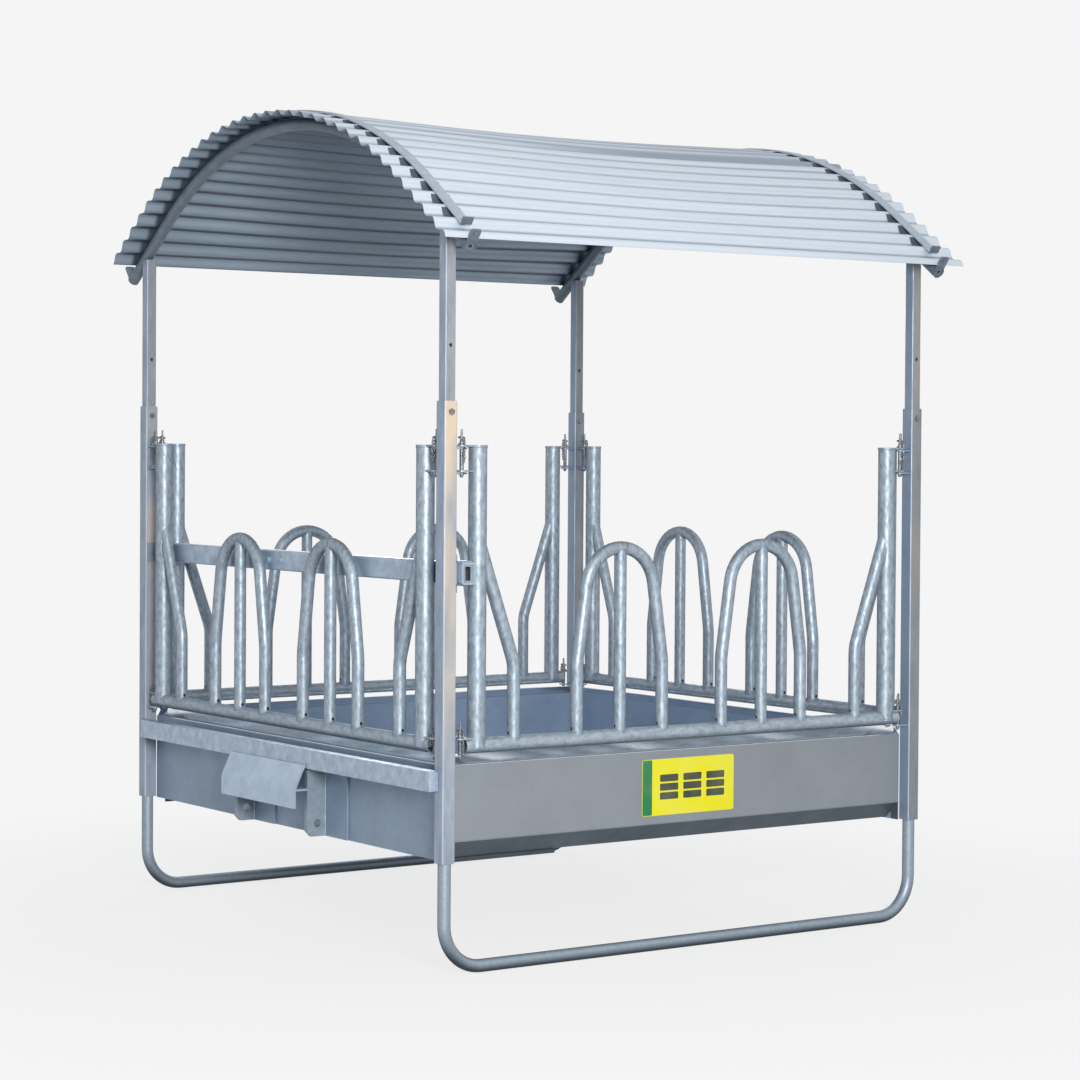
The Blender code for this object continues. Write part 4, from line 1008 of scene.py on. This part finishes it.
def roof_sheet(first, count, lift, begin):
    """A corrugated sheet from a flat grid; begin is how many steps are left out at its eave."""
    steps = count * STEPS - begin
    bm = bmesh.new()
    bmesh.ops.create_grid(bm, x_segments=len(COLUMNS) - 1, y_segments=steps, size=1.0)
    for vert in bm.verts:
        column = COLUMNS[round((vert.co.x + 1) / 2 * (len(COLUMNS) - 1))]
        wave = first + (begin + steps * (vert.co.y + 1) / 2) / STEPS
        travel = FRONT_EAVE + wave * PITCH
        place = on_roof(travel, WAVE * (1 + cos(2 * pi * wave)) / 2 - lift - CLOSE)
        vert.co = Vector((column, place.y, place.z))
    thicken(bm, SHEET_WALL, (0, 0, 1))
    bm.normal_update()
    dust_and_shade = bm.loops.layers.float.new("dust_and_shade")
    for face in bm.faces:
        centre = face.calc_center_median()
        above = face.normal.dot(centre - Vector((centre.x, 0, CREST_Z))) > 0
        waves = abs(travel_at(centre)) / PITCH
        face.material_index = 0 if above else 1
        # Faces beside a strap, off its crests, take the painted strap shadow
        beside_strap = abs(abs(centre.x) - POST) < STRAP_HALF and not 0.34 < waves % 1 < 0.62
        if above and waves < 15.4 and beside_strap:
            face.material_index = 2
        for loop in face.loops:
            place = loop.vert.co
            travel = travel_at(place)
            if above:
                loop[dust_and_shade] = painted_shade_above(travel, place.x, lift > 0)
            else:
                loop[dust_and_shade] = painted_shade_below(loop.vert.normal, place.x, abs(travel) / PITCH % 1)
    for vert in bm.verts:
        share = max(1 - vert.co.x ** 2, 0.0) ** 1.5
        fading = max(1 - (abs(travel_at(vert.co)) / (SAG_END * PITCH)) ** 6, 0.0)
        vert.co.z -= SAG * share * fading
    return bm


for name, first, count, lift, begin in (("front", 0, 12, 0.0, FRONT_TRIM), ("top", 11, 12, LAP, 0),
                                        ("rear", 22, 11, 0.0, 0)):
    show(roof_sheet(first, count, lift, begin), "roof_sheet_%s_corrugated" % name,
         [ROOF_ZINC, UNDERSIDE_SHADE_ZINC, STRAP_SHADOW_ZINC], "roof", angle=60)
print("roof arc:", round(degrees(2 * ARC_HALF), 1), "degrees, 33 waves,", STEPS, "rows each")

# %% [markdown]
# ## Ribs and straps
# Under each end of the roof runs a round rib bent to the same arc, and over it lies a flat
# strap that presses the sheets down. At the eaves the rib sticks out, open, with a tab and a
# bolt, and the strap's end is turned up. The rib is one circle spun round the arc.

# %% Roof ribs with end tabs
RIB_OFFSET = WAVE + CLOSE + GAP + TUBE_R
RIB_REACH = 1.280


def at_mouth(piece, foot, side):
    """Carry a piece to a rib's mouth and lean it as the slope does."""
    return moved(piece, foot, -side * ARC_HALF, "X")


for name, x in (("left", -POST), ("right", POST)):
    ends = [on_roof(side * RIB_REACH, RIB_OFFSET) + Vector((x, 0, 0)) for side in (-1, 1)]
    slope = Vector((0, cos(ARC_HALF), sin(ARC_HALF)))
    apex = ends[0] + slope * (ends[1].y / cos(ARC_HALF))
    parts = [tube([ends[0], apex, ends[1]], TUBE_R, TUBE_WALL, CREST_R - RIB_OFFSET, 32, 48)]
    for side in (-1, 1):
        foot = on_roof(side * (RIB_REACH - 0.007), RIB_OFFSET) + Vector((x, 0, 0))
        tab = plate([(-0.020, 0.006), (0.020, 0.006), (0.020, RIB_OFFSET + 0.022),
                     (-0.020, RIB_OFFSET + 0.022)], 0.006, corner=0.008, corners=(2, 3))
        parts.append(at_mouth(moved(tab, tip=pi / 2), foot, side))
        nut = moved(hex_head(0.013, 0.003, 0.009), (0, side * 0.003, RIB_OFFSET + 0.008),
                    -side * pi / 2, "X")
        parts.append(at_mouth(nut, foot, side))
        # A pressed cap with a drain hole sits just inside the rib's mouth
        lid = turned([(0.006, 0), (0.0180, 0), (0.0180, 0.002), (0.006, 0.002), (0.006, 0)], 24)
        lid = moved(lid, (0, side * 0.0005, 0), -side * pi / 2, "X")
        parts.append(at_mouth(lid, foot, side))
    show(gather(*parts), "roof_rib_%s_tube" % name, RIB_SHADE_ZINC, "roof")
print("rib reach:", RIB_REACH)

# %% Hold-down straps
STRAP_WIDTH = 0.040
CRESTS = range(1, 32)


def strap(x):
    """A flat bar from crest to crest that runs on a little and ends in upturned tabs."""
    rest = -(LAP + CLOSE + GAP)
    stops = [FRONT_EAVE + (k + 0.5) * PITCH for k in CRESTS]
    stops = [stops[0] - 0.5 * PITCH, *stops, stops[-1] + 0.5 * PITCH]
    places = [on_roof(stops[0], rest - 0.026), *(on_roof(travel, rest) for travel in stops),
              on_roof(stops[-1], rest - 0.026)]
    bm = bmesh.new()
    edges = polyline(bm, [(x - STRAP_WIDTH / 2, place.y, place.z) for place in places])[1]
    drag(bm, edges, (STRAP_WIDTH, 0, 0))
    thicken(bm, 0.005, (0, 0, -1))
    # The upturned ends take the ribs' darker colour, which is painted shade
    return paint(bm, lambda face: int(abs(travel_at(face.calc_center_median())) > 15.9 * PITCH))


for name, x in (("left", -POST), ("right", POST)):
    show(strap(x), "roof_strap_%s_bar" % name, [STRAP_ZINC, RIB_SHADE_ZINC], "roof",
         angle=30)
print("strap lies on", len(CRESTS), "crests")

# %% [markdown]
# ## Label
# A yellow and green plate sits on the front wall. This one has a design of its own: a yellow
# field, a green band at its left edge and three stacks of dark square bales. It is printed vinyl on
# a thin sheet, so it is smooth and not metallic, and fades a little in patches.

# %% Label plate
def vinyl(name, code):
    """Printed vinyl film: even colour, a soft gloss and slight fading in patches."""
    material, tree, shader = new_material(name, code)
    place = add(tree, "TexCoord").outputs["Object"]
    fading = add(tree, "TexNoise", {"Scale": 9.0, "Detail": 3.0}, {"Vector": place})
    worn = add(tree, "MapRange", {"From Min": 0.35, "From Max": 0.7, "To Max": 0.12},
               {"Value": fading})
    colour = add(tree, "Mix", {"data_type": "RGBA", 6: linear(code), 7: linear("#e8e6c8")},
                 {0: worn})
    link(tree, shader, {"Base Color": colour.outputs[2]})
    shader.inputs["Roughness"].default_value = 0.38
    shader.inputs["IOR"].default_value = 1.46
    return material


YELLOW = vinyl("yellow_vinyl_film", "#e9e21c")
GREEN = vinyl("green_vinyl_film", "#1f7a4c")
INK = vinyl("dark_printing_ink", "#2f3a2c")
PLATE_OUT, PRINT_OUT = 0.0004, 0.0009  # from the wall to the middle of each film
LABEL = (-0.188, 0.208, 0.4475, 0.637)


def stuck(left, right, low, high, out, corner=0.004):
    """A thin film on the front wall between two corners, its corners rounded."""
    sheet = plate([(left, low), (right, low), (right, high), (left, high)], 0.0006, 0, corner)
    return moved(sheet, (0, -OUT - out, 0), tip=pi / 2)


left, right, low, high = LABEL
show(stuck(*LABEL, PLATE_OUT, 0.008), "label_plate", YELLOW, "base", "")
show(stuck(left + 0.002, left + 0.042, low + 0.002, high - 0.002, PRINT_OUT), "label_band",
     GREEN, "base", "")
bales = []
for start in (-0.112, -0.012, 0.088):
    for foot in (0.500, 0.530, 0.560):
        bales.append(stuck(start, start + 0.078, foot, foot + 0.024, PRINT_OUT))
show(gather(*bales), "label_bales", INK, "base", "")
print("label:", round(right - left, 3), "x", round(high - low, 3), "m")

# %% [markdown]
# ## Floor, light and camera
# The floor is a wide disc. Near the feeder it takes light and shadow as a matt floor does, and
# far out it fades into the colour of the sky behind, so that no line shows where it ends. The
# light is a bright sky all round and one large soft lamp from the front left, low enough to put a
# bright line down the middle of each round tube. A weak lamp behind lights the far sides.

# %% Floor and sky
BACKDROP = "#f5f5f5"


def where_seen(tree):
    """1 for rays that show a surface, straight, through glass or mirrored, and 0 for the rest."""
    rays = add(tree, "LightPath")
    direct = add(tree, "Math", {"operation": "MAXIMUM"},
                 {0: rays.outputs["Is Camera Ray"], 1: rays.outputs["Is Transmission Ray"]})
    return add(tree, "Math", {"operation": "MAXIMUM"},
               {0: direct, 1: rays.outputs["Is Glossy Ray"]})


floor_mesh = bpy.data.meshes.new("floor")
bm = bmesh.new()
bmesh.ops.create_circle(bm, cap_ends=True, segments=96, radius=60.0,
                        matrix=Matrix.Translation((0, 0, -0.0005)))
bm.to_mesh(floor_mesh)
bm.free()
floor = placed("floor", floor_mesh)

ground, tree, matt = new_material("pale_matt_floor", "#9a9c9e")
matt.inputs["Base Color"].default_value = linear("#9a9c9e")
matt.inputs["Roughness"].default_value = 0.9
matt.inputs["Specular IOR Level"].default_value = 0.1
seen_matt = add(tree, "BsdfDiffuse", {"Color": linear("#f6f6f6")})
flat_light = add(tree, "Emission", {"Color": linear(BACKDROP)})
spot = add(tree, "TexCoord").outputs["Object"]
distance = add(tree, "VectorMath", {"operation": "LENGTH"}, {0: spot})
fade = add(tree, "MapRange", {"interpolation_type": "SMOOTHSTEP", "From Min": 1.2,
                                        "From Max": 3.6, "To Min": 0.86},
           {"Value": distance.outputs["Value"]})
seen_floor = add(tree, "MixShader", None,
                 {0: fade, 1: seen_matt, 2: flat_light})
blended = add(tree, "MixShader", None,
              {0: where_seen(tree), 1: matt, 2: seen_floor})
link(tree, tree.nodes["Material Output"], {"Surface": blended})
floor_mesh.materials.append(ground)

sky = bpy.data.worlds.new("studio")
bpy.context.scene.world = sky
sky.use_nodes = True
tree = sky.node_tree
seen_sky = add(tree, "Background", {"Color": linear(BACKDROP)})
lit_sky = add(tree, "Background", {"Color": linear("#eef3fa"), "Strength": 0.42})
choice = add(tree, "MixShader", None,
             {0: where_seen(tree), 1: lit_sky, 2: seen_sky})
link(tree, tree.nodes["World Output"], {"Surface": choice})
print("backdrop:", BACKDROP)

# %% Lamps and camera
MIDDLE = (0, 0, 1.3)
PHOTO_SIDE = 1080  # pixels; the camera was fitted to the photo in these
FOCAL_PIXELS = 2766.3978


def lamp(name, place, size, power, colour, shine):
    """A large soft area lamp aimed at the feeder; shine is its share in highlights."""
    data = bpy.data.lights.new(name, "AREA")
    data.shape = "DISK"
    data.size = size
    data.energy = power
    data.color = colour
    data.specular_factor = shine
    made = placed(name, data)
    made.location = place
    made.rotation_euler = (Vector(MIDDLE) - Vector(place)).to_track_quat("-Z", "Y").to_euler()


lamp("front_lamp", (-4.2, -8.6, 3.0), 2.6, 720, (1.0, 0.985, 0.96), 1.0)
lamp("rear_lamp", (5.6, 8.0, 3.4), 3.0, 260, (0.96, 0.98, 1.0), 0.1)

camera_data = bpy.data.cameras.new("camera")
camera = placed("camera", camera_data)
azimuth, elevation, roll = (radians(v) for v in (-34.1301, 1.169, 0.338))
back = Vector((sin(azimuth) * cos(elevation), -cos(azimuth) * cos(elevation),
               sin(elevation)))
right = Vector((cos(azimuth), sin(azimuth), 0))
up = back.cross(right)
columns = (right * cos(roll) + up * sin(roll),
           up * cos(roll) - right * sin(roll), back)
place = Vector((0, 0, 1.4701)) + right * -0.2496 + back * 10.1302
camera.matrix_world = Matrix.Translation(place) @ Matrix(columns).transposed().to_4x4()
camera_data.sensor_width = 36.0
camera_data.lens = FOCAL_PIXELS / PHOTO_SIDE * camera_data.sensor_width
camera_data.shift_x = 88.2443 / PHOTO_SIDE
camera_data.shift_y = -35.845 / PHOTO_SIDE
camera_data.clip_end = 200.0
bpy.context.scene.camera = camera
bpy.context.scene.view_settings.view_transform = "Standard"
print("camera at", [round(v, 3) for v in place], "lens", round(camera_data.lens, 2), "mm")

# %% [markdown]
# ## Last update
# The dressed model has to keep to the imported part's box. The last line brings the scene up to
# date.

# %% Finish
bpy.context.view_layer.update()
